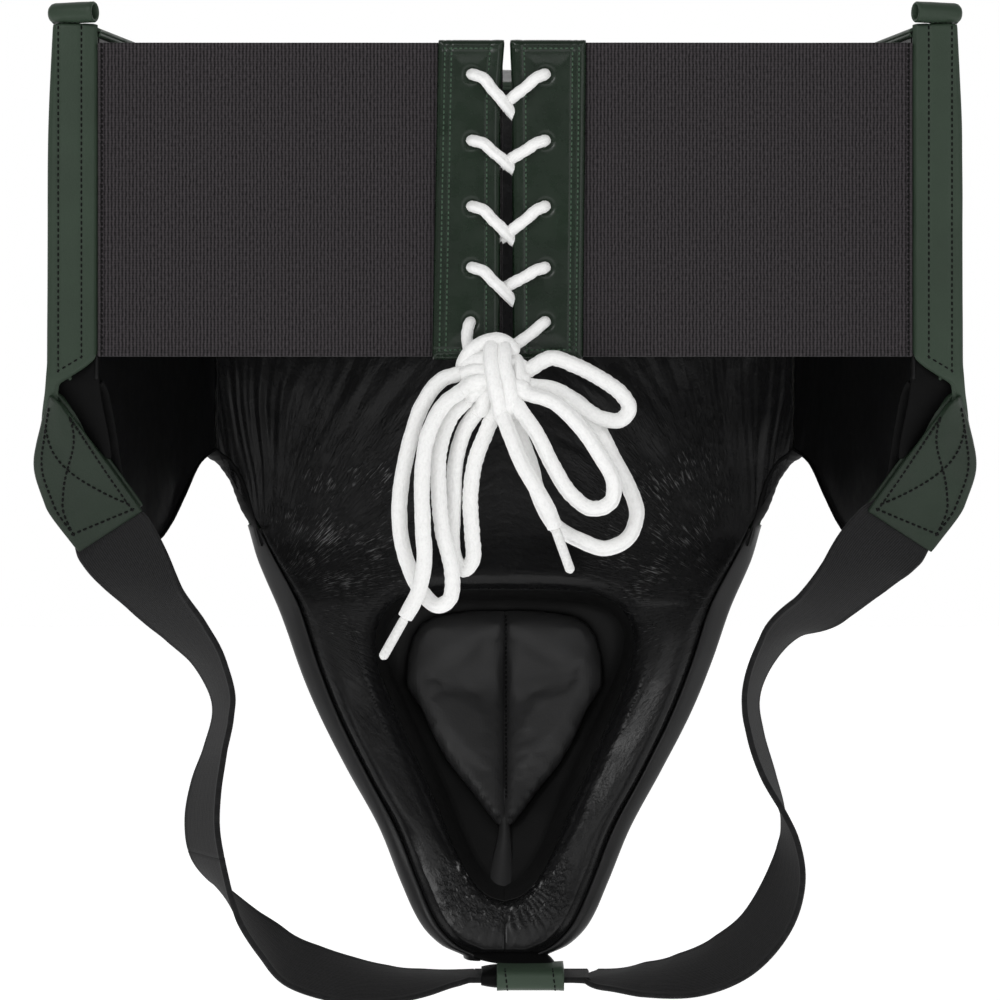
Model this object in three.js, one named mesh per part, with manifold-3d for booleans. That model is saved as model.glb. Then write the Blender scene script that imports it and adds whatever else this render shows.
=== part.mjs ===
// Laced groin protector for boxing. Millimetres, +Z up. The wearer faces +Y, so the laced elastic band
// is at -Y and the cup bulges towards +Y. The origin is the middle of the waist, at half the band's height.
import * as THREE from 'three';
import { mergeVertices } from 'three/addons/utils/BufferGeometryUtils.js';
import Module from 'manifold-3d';

const wasm = await Module();
wasm.setup();

// ---- Driving dimensions ----
const TOUCH_GAP = 0.3;
const LEATHER = 1.7;
const LINING = 2;
const PAD_THICKNESS = 14;
const WAIST = {
  frontY: 86, frontRadius: 200, frontTurn: 0.515, cornerRadius: 40, sideTurn: 1.3736,
  rearY: -96.2, rearRun: 269.3,
};
const TOP_Z = 60;
const BAND = { top: 55, bottom: -55, outerY: -98.4, thickness: 2, seamX: 143.4 };
const BELLY_RUN = 122;
const CROTCH_BOTTOM = -282;
const CUP_TOP = -118;
const LEAN = { startZ: -110, reach: 56, power: 1.8 };
const SEAM_INSET = 7;
const SEAM_GAP = 0.6;
const TUCK_TURN = 0.6;
const DOME_GAP = 0.8;
const SHELL_WALL = 3;
const CUP_FOAM = 9;
const INNER_PAD = 11;
const PAD_GAP = 3;
const FRONT_TURN = 1.08;
const FOAM_TURN = 1.26;
const ROLL = { depth: 9, inset: 9, openingTrim: 2 };
const SWELL = { depth: 8, runs: [185, 235], falls: [10, 90] };
const LACE_DIAMETER = 4.4;
const LACE_SIDES = 8;
const HOLE_RADIUS = 2.9;
const LACE_ROWS = [43.7, 20.4, -2.8, -24.3, -43.3];
const HOLE_X = { left: -12, right: 14.4 };
const LACE_GAP_X = 0.4;
const KNOT = { x: -3, y: -109.8, z: -65.3, radii: [11, 7, 8.9] };
const STRAP = { width: 28.5, thickness: 2, stub: 1.5 };
const LOOP = { x0: -3, x1: 22.5, y: 22.5, z: -288.2, width: 35, height: 9.4, wall: 1.8 };
const TAB = { inner: 143.8, outer: 161.5, top: 61.6, bottom: -63, corner: 12, thickness: 2.2 };
const TOP_ROLL = { radius: 3.7, bore: 2.5, length: 17.5, endWall: 1.25, x: 152.6, y: -97.2, sides: 14 };
const PLACKET = {
  left: { edge: -24.5, gap: [-0.7, -2.1, -2.4] },
  right: { edge: 27.5, gap: [2.2, 2.9, 3.3] },
};
const PLACKET_Z = { top: 55.6, bottom: -55.8 };
const OUTER_LEATHER = 2.2;
const BACKING = 1.5;
const AGLET = { diameter: 3.4, length: 15.5 };
const PATCH = {
  innerTop: [156, -96, -73],
  innerBottom: [131, -70, -110.6],
  outer: [
    [0, [161, -96.5, -70]], [0.3, [165, -89, -82]], [0.6, [168.5, -81, -95]],
    [0.85, [165, -74, -109]], [1, [153.5, -70, -125]],
  ],
  inwards: [0, 0.86, 0.51],
  crown: 2.5,
  layer: 2,
  layerGap: 0.6,
};

// Half width of the belly and crotch panel along the waist, at a height: the leg arch and the narrowing cup.
const FRONT_EDGE = [
  [TOP_Z, BELLY_RUN], [-86, BELLY_RUN], [-91, 114], [-99, 108], [-112, 103.5],
  [-130, 97.5], [-150, 89], [-170, 82], [-190, 73.5], [-212, 62],
  [-235, 49], [-255, 40.5], [-270, 33], [-278, 25], [CROTCH_BOTTOM, 16],
];
// Lower edge of a wing, at a run along the waist: the arch, the hip lobe and the cut up to the side tab.
const WING_EDGE = [
  [BELLY_RUN + 0.4, -86], [140, -93], [158, -104], [179, -115.5], [193, -120],
  [212, -118], [232, -110], [262, -66], [WAIST.rearRun, -63],
];
// Depth of the cup from the lining to the outer cover, on the centre line.
const CUP_DEPTH = [
  [CUP_TOP, PAD_THICKNESS + 1], [-135, 33], [-155, 50], [-185, 61], [-215, 57],
  [-245, 43], [-265, 29], [-277, 19], [CROTCH_BOTTOM, 13],
];
// Half width of the recess's opening, and of the pad inside it.
const RECESS_EDGE = [
  [-143, 36], [-147, 46], [-156, 52], [-168, 52], [-190, 44],
  [-211, 34], [-228, 26], [-248, 17], [-262, 9], [-267, 3],
];
const INNER_PAD_EDGE = [
  [-151, 24], [-155, 33], [-165, 38.5], [-178, 40], [-192, 34], [-210, 24], [-226, 12], [-237, 5],
];

const COLOURS = {
  green: { color: 0x2b3a2d, roughness: 0.38, metalness: 0 },
  black: { color: 0x111112, roughness: 0.32, metalness: 0 },
  satin: { color: 0x262627, roughness: 0.45, metalness: 0 },
  foam: { color: 0x9a9a94, roughness: 0.95, metalness: 0 },
  plastic: { color: 0xd9d9d2, roughness: 0.5, metalness: 0 },
  elastic: { color: 0x2f2b2e, roughness: 0.9, metalness: 0 },
  webbing: { color: 0x2b2b2c, roughness: 0.85, metalness: 0 },
  lace: { color: 0xe9e9e7, roughness: 0.85, metalness: 0 },
};

// ---- Helpers for shape ----
const point = (x, y, z) => new THREE.Vector3(x, y, z);
const lerp = THREE.MathUtils.lerp;
const smoothstep = THREE.MathUtils.smoothstep;
const steps = (from, to, count) => Array.from({ length: count + 1 }, (_, i) => lerp(from, to, i / count));

// Straight interpolation in a list of [key, value] pairs, whose keys rise or fall.
function along(list, key) {
  const rising = list[1][0] > list[0][0];
  for (let i = 1; i < list.length; i++) {
    const [k0, v0] = list[i - 1];
    const [k1, v1] = list[i];
    if (rising ? key <= k1 : key >= k1) return v0 + ((v1 - v0) * (key - k0)) / (k1 - k0);
  }
  return list[list.length - 1][1];
}

// The waist in plan: a front arc, a tighter corner arc and a straight side, mirrored in X. run is the
// distance along the lining from the centre of the belly.
function planAt(run) {
  const { frontY, frontRadius, frontTurn, cornerRadius, sideTurn } = WAIST;
  const distance = Math.abs(run);
  const side = Math.sign(run) || 1;
  const arcEnd = frontRadius * frontTurn;
  const cornerEnd = arcEnd + cornerRadius * (sideTurn - frontTurn);
  const turn = distance <= arcEnd
    ? distance / frontRadius
    : Math.min(frontTurn + (distance - arcEnd) / cornerRadius, sideTurn);
  let x = frontRadius * Math.sin(turn);
  let y = frontY - frontRadius * (1 - Math.cos(turn));
  if (distance > arcEnd) {
    const offset = frontRadius - cornerRadius;
    x = offset * Math.sin(frontTurn) + cornerRadius * Math.sin(turn);
    y = frontY - frontRadius + offset * Math.cos(frontTurn) + cornerRadius * Math.cos(turn);
  }
  const straight = Math.max(0, distance - cornerEnd);
  x += straight * Math.cos(turn);
  y -= straight * Math.sin(turn);
  return { x: side * x, y, nx: side * Math.sin(turn), ny: Math.cos(turn) };
}

// How far the crotch leans back towards the wearer below the belly.
function lean(z) {
  const fall = Math.max(0, LEAN.startZ - z) / (LEAN.startZ - CROTCH_BOTTOM);
  return -LEAN.reach * fall ** LEAN.power;
}

// A point on the padded wall, offset outwards from the lining's inner face.
function wallPoint(run, z, offset) {
  const p = planAt(run);
  return point(p.x + p.nx * offset, p.y + p.ny * offset + lean(z), z);
}

// Edge of the lining, as a run along the waist: on the cup it stops short of the side bands.
function liningRun(z) {
  return along(FRONT_EDGE, z) - SEAM_INSET * smoothstep(-z, 100, 150);
}

// The cup's outer surface, moved inwards by inset. turn goes from -PI/2 to PI/2 across the front, and
// on by TUCK_TURN at each side, where the side band tucks back to the lining's seam.
function domePoint(turn, z, inset) {
  const half = along(FRONT_EDGE, z);
  const widest = wallPoint(half, z, 0).y + SEAM_INSET + 1;
  const centre = wallPoint(0, z, 0).y + along(CUP_DEPTH, z);
  const past = Math.abs(turn) - Math.PI / 2;
  if (past <= 0) {
    const reach = Math.max(1, centre - widest - inset);
    return point((half - inset) * Math.sin(turn), widest + reach * Math.cos(turn), z);
  }
  const tuck = (past / TUCK_TURN) * (Math.PI / 2);
  const seam = wallPoint(liningRun(z) + SEAM_GAP, z, inset + 0.1);
  const x = lerp(half - inset, seam.x, 1 - Math.cos(tuck));
  return point(Math.sign(turn) * x, lerp(widest, seam.y, Math.sin(tuck)), z);
}

// Depth of the cup's inside at a place across, for pieces that lie against the hard shell.
function shellFace(x, z, inset) {
  const half = along(FRONT_EDGE, z) - inset;
  return domePoint(Math.asin(THREE.MathUtils.clamp(x / half, -1, 1)), z, inset);
}

function closedGeometry(vertices, triangles) {
  let volume = 0;
  for (const [a, b, c] of triangles) {
    volume += vertices[a].dot(vertices[b].clone().cross(vertices[c]));
  }
  const index = volume < 0 ? triangles.map(([a, b, c]) => [a, c, b]).flat() : triangles.flat();
  const geometry = new THREE.BufferGeometry();
  const coordinates = vertices.flatMap((v) => v.toArray());
  geometry.setAttribute('position', new THREE.Float32BufferAttribute(coordinates, 3));
  geometry.setIndex(index);
  geometry.computeVertexNormals();
  return geometry;
}

// A closed sheet between two grids of points, both as rows of equal length.
function slab(front, back) {
  const rows = front.length;
  const columns = front[0].length;
  const last = { row: rows - 1, column: columns - 1 };
  const vertices = [...front.flat(), ...back.flat()];
  const at = (side, row, column) => side * rows * columns + row * columns + column;
  const triangles = [];
  const quad = (a, b, c, d) => triangles.push([a, b, c], [a, c, d]);
  for (let r = 0; r < rows - 1; r++) {
    for (let c = 0; c < columns - 1; c++) {
      quad(at(0, r, c), at(0, r, c + 1), at(0, r + 1, c + 1), at(0, r + 1, c));
      quad(at(1, r, c), at(1, r + 1, c), at(1, r + 1, c + 1), at(1, r, c + 1));
    }
  }
  for (let c = 0; c < columns - 1; c++) {
    quad(at(0, 0, c), at(1, 0, c), at(1, 0, c + 1), at(0, 0, c + 1));
    quad(at(0, last.row, c), at(0, last.row, c + 1), at(1, last.row, c + 1), at(1, last.row, c));
  }
  for (let r = 0; r < rows - 1; r++) {
    quad(at(0, r, 0), at(0, r + 1, 0), at(1, r + 1, 0), at(1, r, 0));
    quad(at(0, r, last.column), at(1, r, last.column), at(1, r + 1, last.column), at(0, r + 1, last.column));
  }
  return closedGeometry(vertices, triangles);
}

// A grid of points: one row for each height, one column for each fraction.
const grid = (heights, fractions, place) => heights.map((z) => fractions.map((f) => place(f, z)));

// A flat plate in the X-Z plane, from backY towards -Y.
function plate(outline, backY, thickness) {
  const shape = new THREE.Shape(outline.map(([x, z]) => new THREE.Vector2(x, z)));
  const geometry = new THREE.ExtrudeGeometry(shape, { depth: thickness, bevelEnabled: false });
  geometry.rotateX(Math.PI / 2);
  geometry.translate(0, backY, 0);
  return geometry;
}

// The same plate with a column of lace holes punched through it.
function punchedPlate(outline, backY, thickness, holeX) {
  let solid = toSolid(plate(outline, backY, thickness));
  for (const z of LACE_ROWS) {
    const punch = new THREE.CylinderGeometry(HOLE_RADIUS, HOLE_RADIUS, thickness * 3, LACE_SIDES);
    punch.translate(holeX, backY - thickness / 2, z);
    solid = solid.subtract(toSolid(punch));
  }
  return fromSolid(solid);
}

// A route whose stations are its own steps, so that a section is swept from one station to the next.
class StationRoute extends THREE.Curve {
  constructor(stations) {
    super();
    this.stations = stations;
  }
  getPoint(t) {
    const last = this.stations.length - 1;
    const place = THREE.MathUtils.clamp(t, 0, 1) * last;
    const first = Math.min(Math.floor(place), last - 1);
    return this.stations[first].clone().lerp(this.stations[first + 1], place - first);
  }
  getPointAt(u) {
    return this.getPoint(u);
  }
  getTangentAt(u) {
    const step = 1 / (this.stations.length - 1);
    const ahead = this.getPoint(Math.min(1, u + step));
    return ahead.sub(this.getPoint(Math.max(0, u - step))).normalize();
  }
  getTangent(t) {
    return this.getTangentAt(t);
  }
}

function roundCord(stations, diameter) {
  const section = new THREE.Shape();
  for (let i = 0; i < LACE_SIDES; i++) {
    const angle = (i * 2 * Math.PI) / LACE_SIDES;
    const corner = [(diameter / 2) * Math.cos(angle), (diameter / 2) * Math.sin(angle)];
    if (i === 0) section.moveTo(...corner);
    else section.lineTo(...corner);
  }
  return new THREE.ExtrudeGeometry(section, {
    steps: stations.length - 1,
    extrudePath: new StationRoute(stations),
    bevelEnabled: false,
  });
}

// Stations along a smooth curve through hand-placed points, about spacing apart.
function smoothStations(places, spacing) {
  const curve = new THREE.CatmullRomCurve3(places.map((p) => point(...p)), false, 'centripetal');
  return curve.getSpacedPoints(Math.max(2, Math.round(curve.getLength() / spacing)));
}

// Stations along straight runs whose corners are rounded with three stations each.
function corneredStations(places, radius) {
  const corners = places.map((p) => point(...p));
  const stations = [corners[0]];
  for (let i = 1; i < corners.length - 1; i++) {
    const before = corners[i - 1].clone().sub(corners[i]);
    const after = corners[i + 1].clone().sub(corners[i]);
    const cut = Math.min(radius, before.length() / 2.1, after.length() / 2.1);
    const start = corners[i].clone().addScaledVector(before.normalize(), cut);
    const end = corners[i].clone().addScaledVector(after.normalize(), cut);
    const middle = start.clone().add(end).multiplyScalar(0.25).addScaledVector(corners[i], 0.5);
    stations.push(start, middle, end);
  }
  stations.push(corners[corners.length - 1]);
  return stations;
}

// ---- Booleans ----
function toSolid(geometry) {
  const plain = geometry.clone();
  plain.deleteAttribute('normal');
  plain.deleteAttribute('uv');
  const merged = mergeVertices(plain, 1e-4);
  return new wasm.Manifold(new wasm.Mesh({
    numProp: 3,
    vertProperties: new Float32Array(merged.attributes.position.array),
    triVerts: new Uint32Array(merged.index.array),
  }));
}

function fromSolid(solid) {
  const mesh = solid.getMesh();
  const geometry = new THREE.BufferGeometry();
  geometry.setAttribute('position', new THREE.BufferAttribute(new Float32Array(mesh.vertProperties), 3));
  geometry.setIndex(new THREE.BufferAttribute(new Uint32Array(mesh.triVerts), 1));
  geometry.computeVertexNormals();
  return geometry;
}

// ---- The part ----
const part = new THREE.Group();

function addPiece(name, geometry, colour) {
  const mesh = new THREE.Mesh(geometry, new THREE.MeshStandardMaterial(COLOURS[colour]));
  mesh.name = name;
  part.add(mesh);
  return mesh;
}

const SIDES = [['left', -1], ['right', 1]];

// Belly: cover, foam and the long lining, which runs on down round the recess to the crotch.
const bellyHeights = [TOP_Z, 20, -25, -65, -86, -91, -99, -112, CUP_TOP + 1.2];
const across = steps(-1, 1, 12);

function bellyLayer(inner, outer) {
  const place = (offset) => (f, z) => wallPoint(f * along(FRONT_EDGE, z), z, offset);
  return slab(grid(bellyHeights, across, place(inner)), grid(bellyHeights, across, place(outer)));
}

function prismBetween(edge, trim, nearY, farY) {
  const right = edge.map(([z, half]) => [half + trim, z + Math.sign(z + 200) * trim]);
  const outline = [...right, ...right.map(([x, z]) => [-x, z]).reverse()];
  return plate(outline, farY, farY - nearY);
}

function addBelly() {
  addPiece('belly_cover', bellyLayer(PAD_THICKNESS - LEATHER, PAD_THICKNESS), 'green');
  addPiece('belly_foam', bellyLayer(LINING + TOUCH_GAP, PAD_THICKNESS - LEATHER - TOUCH_GAP), 'foam');
  const crotchHeights = [-130, -150, -170, -190, -212, -235, -255, -270, -278, CROTCH_BOTTOM];
  const heights = [TOP_Z, 10, -40, -86, -91, -99, -112, ...crotchHeights];
  const place = (offset) => (f, z) => wallPoint(f * liningRun(z), z, offset);
  const lining = toSolid(slab(grid(heights, across, place(0)), grid(heights, across, place(LINING))));
  const opening = toSolid(prismBetween(RECESS_EDGE, 0, 0, 120));
  addPiece('belly_lining', fromSolid(lining.subtract(opening)), 'black');
}

// Cup: front cover, side bands, outer foam and the hard shell are domes inside each other.
const cupHeights = [CUP_TOP, -128, -139, -155, -170, -190, -212, -235, -255, -270, -278, CROTCH_BOTTOM - 1];
const foamHeights = cupHeights.slice(1, 10);
const shellHeights = cupHeights.slice(2, 9);

function domeLayer(heights, turns, outer, inner) {
  const place = (inset) => (turn, z) => domePoint(turn, z, inset);
  return slab(grid(heights, turns, place(outer)), grid(heights, turns, place(inner)));
}

function addCup() {
  const foamOuter = LEATHER + DOME_GAP;
  const shellOuter = foamOuter + CUP_FOAM + DOME_GAP;
  const frontTurns = steps(-FRONT_TURN, FRONT_TURN, 12);
  const innerTurns = steps(-FOAM_TURN, FOAM_TURN, 14);
  const foam = domeLayer(foamHeights, innerTurns, foamOuter, foamOuter + CUP_FOAM);
  const shell = domeLayer(shellHeights, innerTurns, shellOuter, shellOuter + SHELL_WALL);
  addPiece('cup_cover', domeLayer(cupHeights, frontTurns, 0, LEATHER), 'green');
  addPiece('cup_foam', foam, 'foam');
  addPiece('cup_shell', shell, 'plastic');
  for (const [side, sign] of SIDES) {
    const turns = steps(sign * (FRONT_TURN + 0.01), sign * (Math.PI / 2), 3);
    for (const tuck of steps(0, TUCK_TURN, 3).slice(1)) turns.push(sign * (Math.PI / 2 + tuck));
    addPiece(`${side}_side_band`, domeLayer(cupHeights, turns, 0, LEATHER), 'black');
  }
  addRecess(shellOuter + SHELL_WALL + PAD_GAP);
}

// Recess: the padded roll round it, its dark wall, and the two halves of the pad at its bottom.
function addRecess(padBack) {
  const heights = [-131, -150, -170, -190, -212, -235, -255, -268, -276];
  const rollPoint = (offset) => (f, z) => wallPoint(f * (liningRun(z) - ROLL.inset), z, offset);
  const roll = (offset) => grid(heights, across, rollPoint(offset));
  const rollBody = toSolid(slab(roll(LINING + TOUCH_GAP), roll(ROLL.depth)));
  const rollHole = toSolid(prismBetween(RECESS_EDGE, ROLL.openingTrim, 0, 120));
  addPiece('recess_roll', fromSolid(rollBody.subtract(rollHole)), 'black');
  for (const [side, sign] of SIDES) {
    const fractions = steps(0.01, 1, 6);
    const zs = INNER_PAD_EDGE.map(([z]) => z);
    const face = (inset) => (f, z) => shellFace(sign * f * along(INNER_PAD_EDGE, z), z, inset);
    const back = grid(zs, fractions, face(padBack));
    const front = grid(zs, fractions, face(padBack + INNER_PAD));
    addPiece(`inner_pad_${side}`, slab(back, front), 'satin');
  }
}

// Wings: lining, foam and cover round each hip. The cover swells over the hip patch.
const wingRuns = [BELLY_RUN + 0.4, 131, 140, 149, 158, 168, 179, 193, 212, 232, 247, 262, WAIST.rearRun];
const wingFractions = steps(0, 1, 5);

function wingThickness(run, z) {
  return PAD_THICKNESS + SWELL.depth * smoothstep(run, ...SWELL.runs) * smoothstep(-z, ...SWELL.falls);
}

function wingLayer(sign, inner, outer) {
  const place = (offset) => (run, f) => {
    const z = lerp(along(WING_EDGE, run), TOP_Z, f);
    return wallPoint(sign * run, z, offset(run, z));
  };
  return slab(grid(wingFractions, wingRuns, place(inner)), grid(wingFractions, wingRuns, place(outer)));
}

// A strip that caps the lower edge of a wing from the lining's face to the cover's.
function archBinding(sign) {
  const rise = [1.9, TOUCH_GAP];
  const place = (outer) => (run, drop) => {
    const z = along(WING_EDGE, run);
    return wallPoint(sign * run, z - drop, outer ? wingThickness(run, z) : 0);
  };
  return slab(grid(rise, wingRuns, place(false)), grid(rise, wingRuns, place(true)));
}

function addWings() {
  for (const [side, sign] of SIDES) {
    const foamOut = (run, z) => wingThickness(run, z) - LEATHER - TOUCH_GAP;
    addPiece(`${side}_wing_lining`, wingLayer(sign, () => 0, () => LINING), 'black');
    addPiece(`${side}_wing_foam`, wingLayer(sign, () => LINING + TOUCH_GAP, foamOut), 'foam');
    const coverIn = (run, z) => wingThickness(run, z) - LEATHER;
    addPiece(`${side}_wing_cover`, wingLayer(sign, coverIn, wingThickness), 'green');
    addPiece(`${side}_arch_binding`, archBinding(sign), 'black');
  }
  const runs = steps(-WAIST.rearRun, WAIST.rearRun, 36);
  const heights = [TOP_Z + TOUCH_GAP, TOP_Z + 2];
  const edge = (offset) => grid(heights, runs, (run, z) => wallPoint(run, z, offset));
  addPiece('top_binding', slab(edge(0), edge(PAD_THICKNESS)), 'green');
}

// Side tabs: green strips over the wings' rear ends, with a rolled loop on top.

function addSideTabs() {
  for (const [side, sign] of SIDES) {
    const outline = [
      [TAB.inner, TAB.top], [TAB.outer - 2, TAB.top], [TAB.outer, TAB.bottom + 6],
      [TAB.outer - 3, TAB.bottom], [TAB.inner + TAB.corner, TAB.bottom],
      [TAB.inner + 3.5, TAB.bottom + 4], [TAB.inner, TAB.bottom + TAB.corner],
    ].map(([x, z]) => [sign * x, z]);
    addPiece(`${side}_side_tab`, plate(outline, WAIST.rearY - TOUCH_GAP, TAB.thickness), 'green');
    const { radius, bore, length, endWall, sides } = TOP_ROLL;
    const tube = new THREE.CylinderGeometry(radius, radius, length, sides).rotateZ(Math.PI / 2);
    const hollow = new THREE.CylinderGeometry(bore, bore, length, sides).rotateZ(Math.PI / 2);
    hollow.translate(-sign * endWall, 0, 0);
    const roll = fromSolid(toSolid(tube).subtract(toSolid(hollow)));
    roll.translate(sign * TOP_ROLL.x, TOP_ROLL.y, TAB.top + 2 * TOUCH_GAP + radius);
    addPiece(`${side}_top_roll`, roll, 'green');
  }
}

// Rear band: an elastic panel and a two-layer lacing placket on each side of the laced opening.

function placketOutline(side, edgeTrim) {
  const { edge, gap } = PLACKET[side];
  const { top, bottom } = PLACKET_Z;
  return [[edge + edgeTrim, top], [gap[0], top], [gap[1], 38], [gap[2], bottom], [edge + edgeTrim, bottom]];
}

function addRearBand() {
  for (const [side, sign] of SIDES) {
    const punched = (outline, backY, thickness) => punchedPlate(outline, backY, thickness, HOLE_X[side]);
    const elasticBack = BAND.outerY + BAND.thickness;
    const gapEdge = placketOutline(side, 0).slice(1, 4);
    const trimmed = gapEdge.map(([x, z]) => [x, THREE.MathUtils.clamp(z, BAND.bottom, BAND.top)]);
    const elastic = [[sign * BAND.seamX, BAND.top], ...trimmed, [sign * BAND.seamX, BAND.bottom]];
    addPiece(`elastic_${side}`, punched(elastic, elasticBack, BAND.thickness), 'elastic');
    const leather = punched(placketOutline(side, 0), BAND.outerY - TOUCH_GAP, OUTER_LEATHER);
    addPiece(`placket_${side}`, leather, 'green');
    const backing = placketOutline(side, sign * -2);
    const backingBack = elasticBack + TOUCH_GAP + BACKING;
    addPiece(`placket_backing_${side}`, punched(backing, backingBack, BACKING), 'green');
  }
}

// Lace: one cord. From a bar behind the top pair of holes each half zigzags down: out of a hole, over
// the placket, down through the gap between the plackets and under the other placket to the next hole.
const LACE_OUT = BAND.outerY - TOUCH_GAP - OUTER_LEATHER - TOUCH_GAP - LACE_DIAMETER / 2;
const LACE_IN = BAND.outerY + BAND.thickness + TOUCH_GAP + BACKING + TOUCH_GAP + LACE_DIAMETER / 2;

function laceHalf(startSide, drops, end) {
  const places = [];
  LACE_ROWS.forEach((z, row) => {
    const side = row % 2 === 0 ? startSide : startSide === 'left' ? 'right' : 'left';
    places.push([HOLE_X[side], LACE_IN, z], [HOLE_X[side], LACE_OUT, z]);
    if (row < LACE_ROWS.length - 1) {
      const gapZ = z - drops[side];
      places.push([LACE_GAP_X, LACE_OUT, gapZ], [LACE_GAP_X, LACE_IN, gapZ]);
    }
  });
  places.push(end);
  return places;
}

function addLace() {
  const drops = { left: 8.6, right: 14.2 };
  const endPlace = (x) => [x, LACE_OUT - 2.5, -52.6];
  const bendRadius = 3.6;
  const down = laceHalf('left', drops, endPlace(-6.5));
  const up = laceHalf('right', drops, endPlace(2.5));
  const stations = corneredStations([...up.reverse(), ...down], bendRadius);
  addPiece('lace', roundCord(stations, LACE_DIAMETER), 'lace');
  const knot = new THREE.SphereGeometry(1, 12, 8);
  knot.scale(...KNOT.radii);
  const solid = fromSolid(toSolid(knot));
  solid.translate(KNOT.x, KNOT.y, KNOT.z);
  addPiece('lace_knot', solid, 'lace');
}

// Bow: the loops and ends that hang from the knot, each a free length of the same cord.
const BOW = {
  bow_loop_left_outer: [
    [-15.2, -109.4, -61.6], [-22.5, -110.5, -64.2], [-29, -111.5, -73], [-33.6, -111.5, -87], [-36.6, -110.5, -103],
    [-36.6, -109, -118], [-33.4, -108, -130], [-28.6, -108, -139], [-23.6, -109, -143], [-19.3, -110, -140.4],
    [-18.6, -111, -131], [-21.8, -112, -117], [-23.2, -112.3, -103], [-22.8, -112, -88], [-19, -110.5, -77],
    [-13.8, -108.8, -71.4],
  ],
  bow_loop_left_inner: [
    [-9.8, -107.5, -75], [-14, -106.2, -81], [-17.4, -105.4, -93], [-18, -105, -106], [-18.6, -104.6, -119],
    [-17.6, -104.4, -127], [-14.4, -104.6, -130.4], [-11.4, -105.2, -127], [-11.6, -105.8, -118],
    [-12.2, -106.3, -105], [-10.4, -106.8, -92], [-6.8, -107.2, -82.6], [-4.6, -107.5, -77.2],
  ],
  bow_end_left: [
    [-15, -114.6, -67.8], [-21.5, -117, -73], [-27, -118.4, -84], [-28.9, -118.6, -99],
    [-28.6, -118, -115], [-28.2, -117, -128], [-30.4, -115.8, -138.4], [-35.2, -115, -147.6],
  ],
  bow_loop_right_upper: [
    [8.2, -109, -60.5], [16, -110.5, -56.4], [24.5, -111, -59], [33, -111, -63.4], [40.5, -110.5, -68.8],
    [43.4, -109.5, -74], [40.3, -108.5, -78], [33.5, -108, -77.3], [26, -108.5, -72.8], [18, -109, -67.5], [10.5, -109.6, -66.3],
  ],
  bow_loop_right_middle: [
    [8.2, -114.6, -69], [17, -117, -72], [26, -118.5, -80.5], [33, -118, -90.5], [37.8, -116.5, -100],
    [36.5, -115, -107], [30, -114.5, -109], [22.5, -115, -103.5], [16, -116, -93], [11, -116.5, -83], [6.2, -115.5, -76],
  ],
  bow_loop_right_outer: [
    [9.5, -104.3, -68.5], [18, -103, -68], [26, -102.4, -72], [32.3, -102, -80], [38, -102, -91],
    [44.2, -102, -103], [46.3, -102.5, -111], [43, -103, -119.5], [35, -103, -123], [26, -103, -120],
    [17.5, -103.3, -114.8], [12, -103.6, -105], [8.8, -104.5, -93], [5.5, -106, -84], [3, -107, -77.8],
  ],
  bow_end_right: [
    [-1.2, -113.5, -75.6], [2.2, -116, -84.5], [6.2, -117, -94],
    [10.8, -117.5, -102], [14.9, -117.3, -109.3], [17.6, -117, -116.4],
  ],
};

function addBow() {
  for (const [name, places] of Object.entries(BOW)) {
    addPiece(name, roundCord(smoothStations(places, 10), LACE_DIAMETER), 'lace');
  }
  for (const side of ['left', 'right']) {
    const places = BOW[`bow_end_${side}`].map((p) => point(...p));
    const end = places[places.length - 1];
    const direction = end.clone().sub(places[places.length - 2]).normalize();
    const start = end.clone().addScaledVector(direction, 0.6);
    const tip = start.clone().addScaledVector(direction, AGLET.length);
    addPiece(`aglet_${side}`, roundCord([start, tip], AGLET.diameter), 'lace');
  }
}

// Hip patches: two leather layers at the wing's lower rear corner, with the sewn strap end between.
// Rows run from the patch's narrow top to its bottom edge, columns from the inner edge to the outer one.

function patchPoint(sign, row, column, depth) {
  const inner = point(...PATCH.innerTop).lerp(point(...PATCH.innerBottom), row);
  const outerAt = (axis) => along(PATCH.outer.map(([key, place]) => [key, place[axis]]), row);
  const outer = point(outerAt(0), outerAt(1), outerAt(2));
  const place = inner.lerp(outer, column).addScaledVector(point(...PATCH.inwards), depth);
  place.y -= PATCH.crown * Math.sin(Math.PI * column) * (1 - row);
  place.x *= sign;
  return place;
}

function patchLayer(sign, rows, columns, depth) {
  const place = (inset) => (column, row) => patchPoint(sign, row, column, inset);
  return slab(grid(rows, columns, place(depth)), grid(rows, columns, place(depth + PATCH.layer)));
}

function addHipPatches() {
  for (const [side, sign] of SIDES) {
    const rows = [0, 0.15, 0.3, 0.45, 0.6, 0.85, 1];
    const columns = steps(0, 1, 5);
    const pitch = PATCH.layer + PATCH.layerGap;
    addPiece(`${side}_hip_patch`, patchLayer(sign, rows, columns, 0), 'green');
    addPiece(`${side}_strap_end`, patchLayer(sign, [0.62, 0.85, 1.06], [0.04, 0.5, 0.96], pitch), 'webbing');
    addPiece(`${side}_hip_patch_back`, patchLayer(sign, rows, columns, 2 * pitch), 'green');
  }
}

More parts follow.
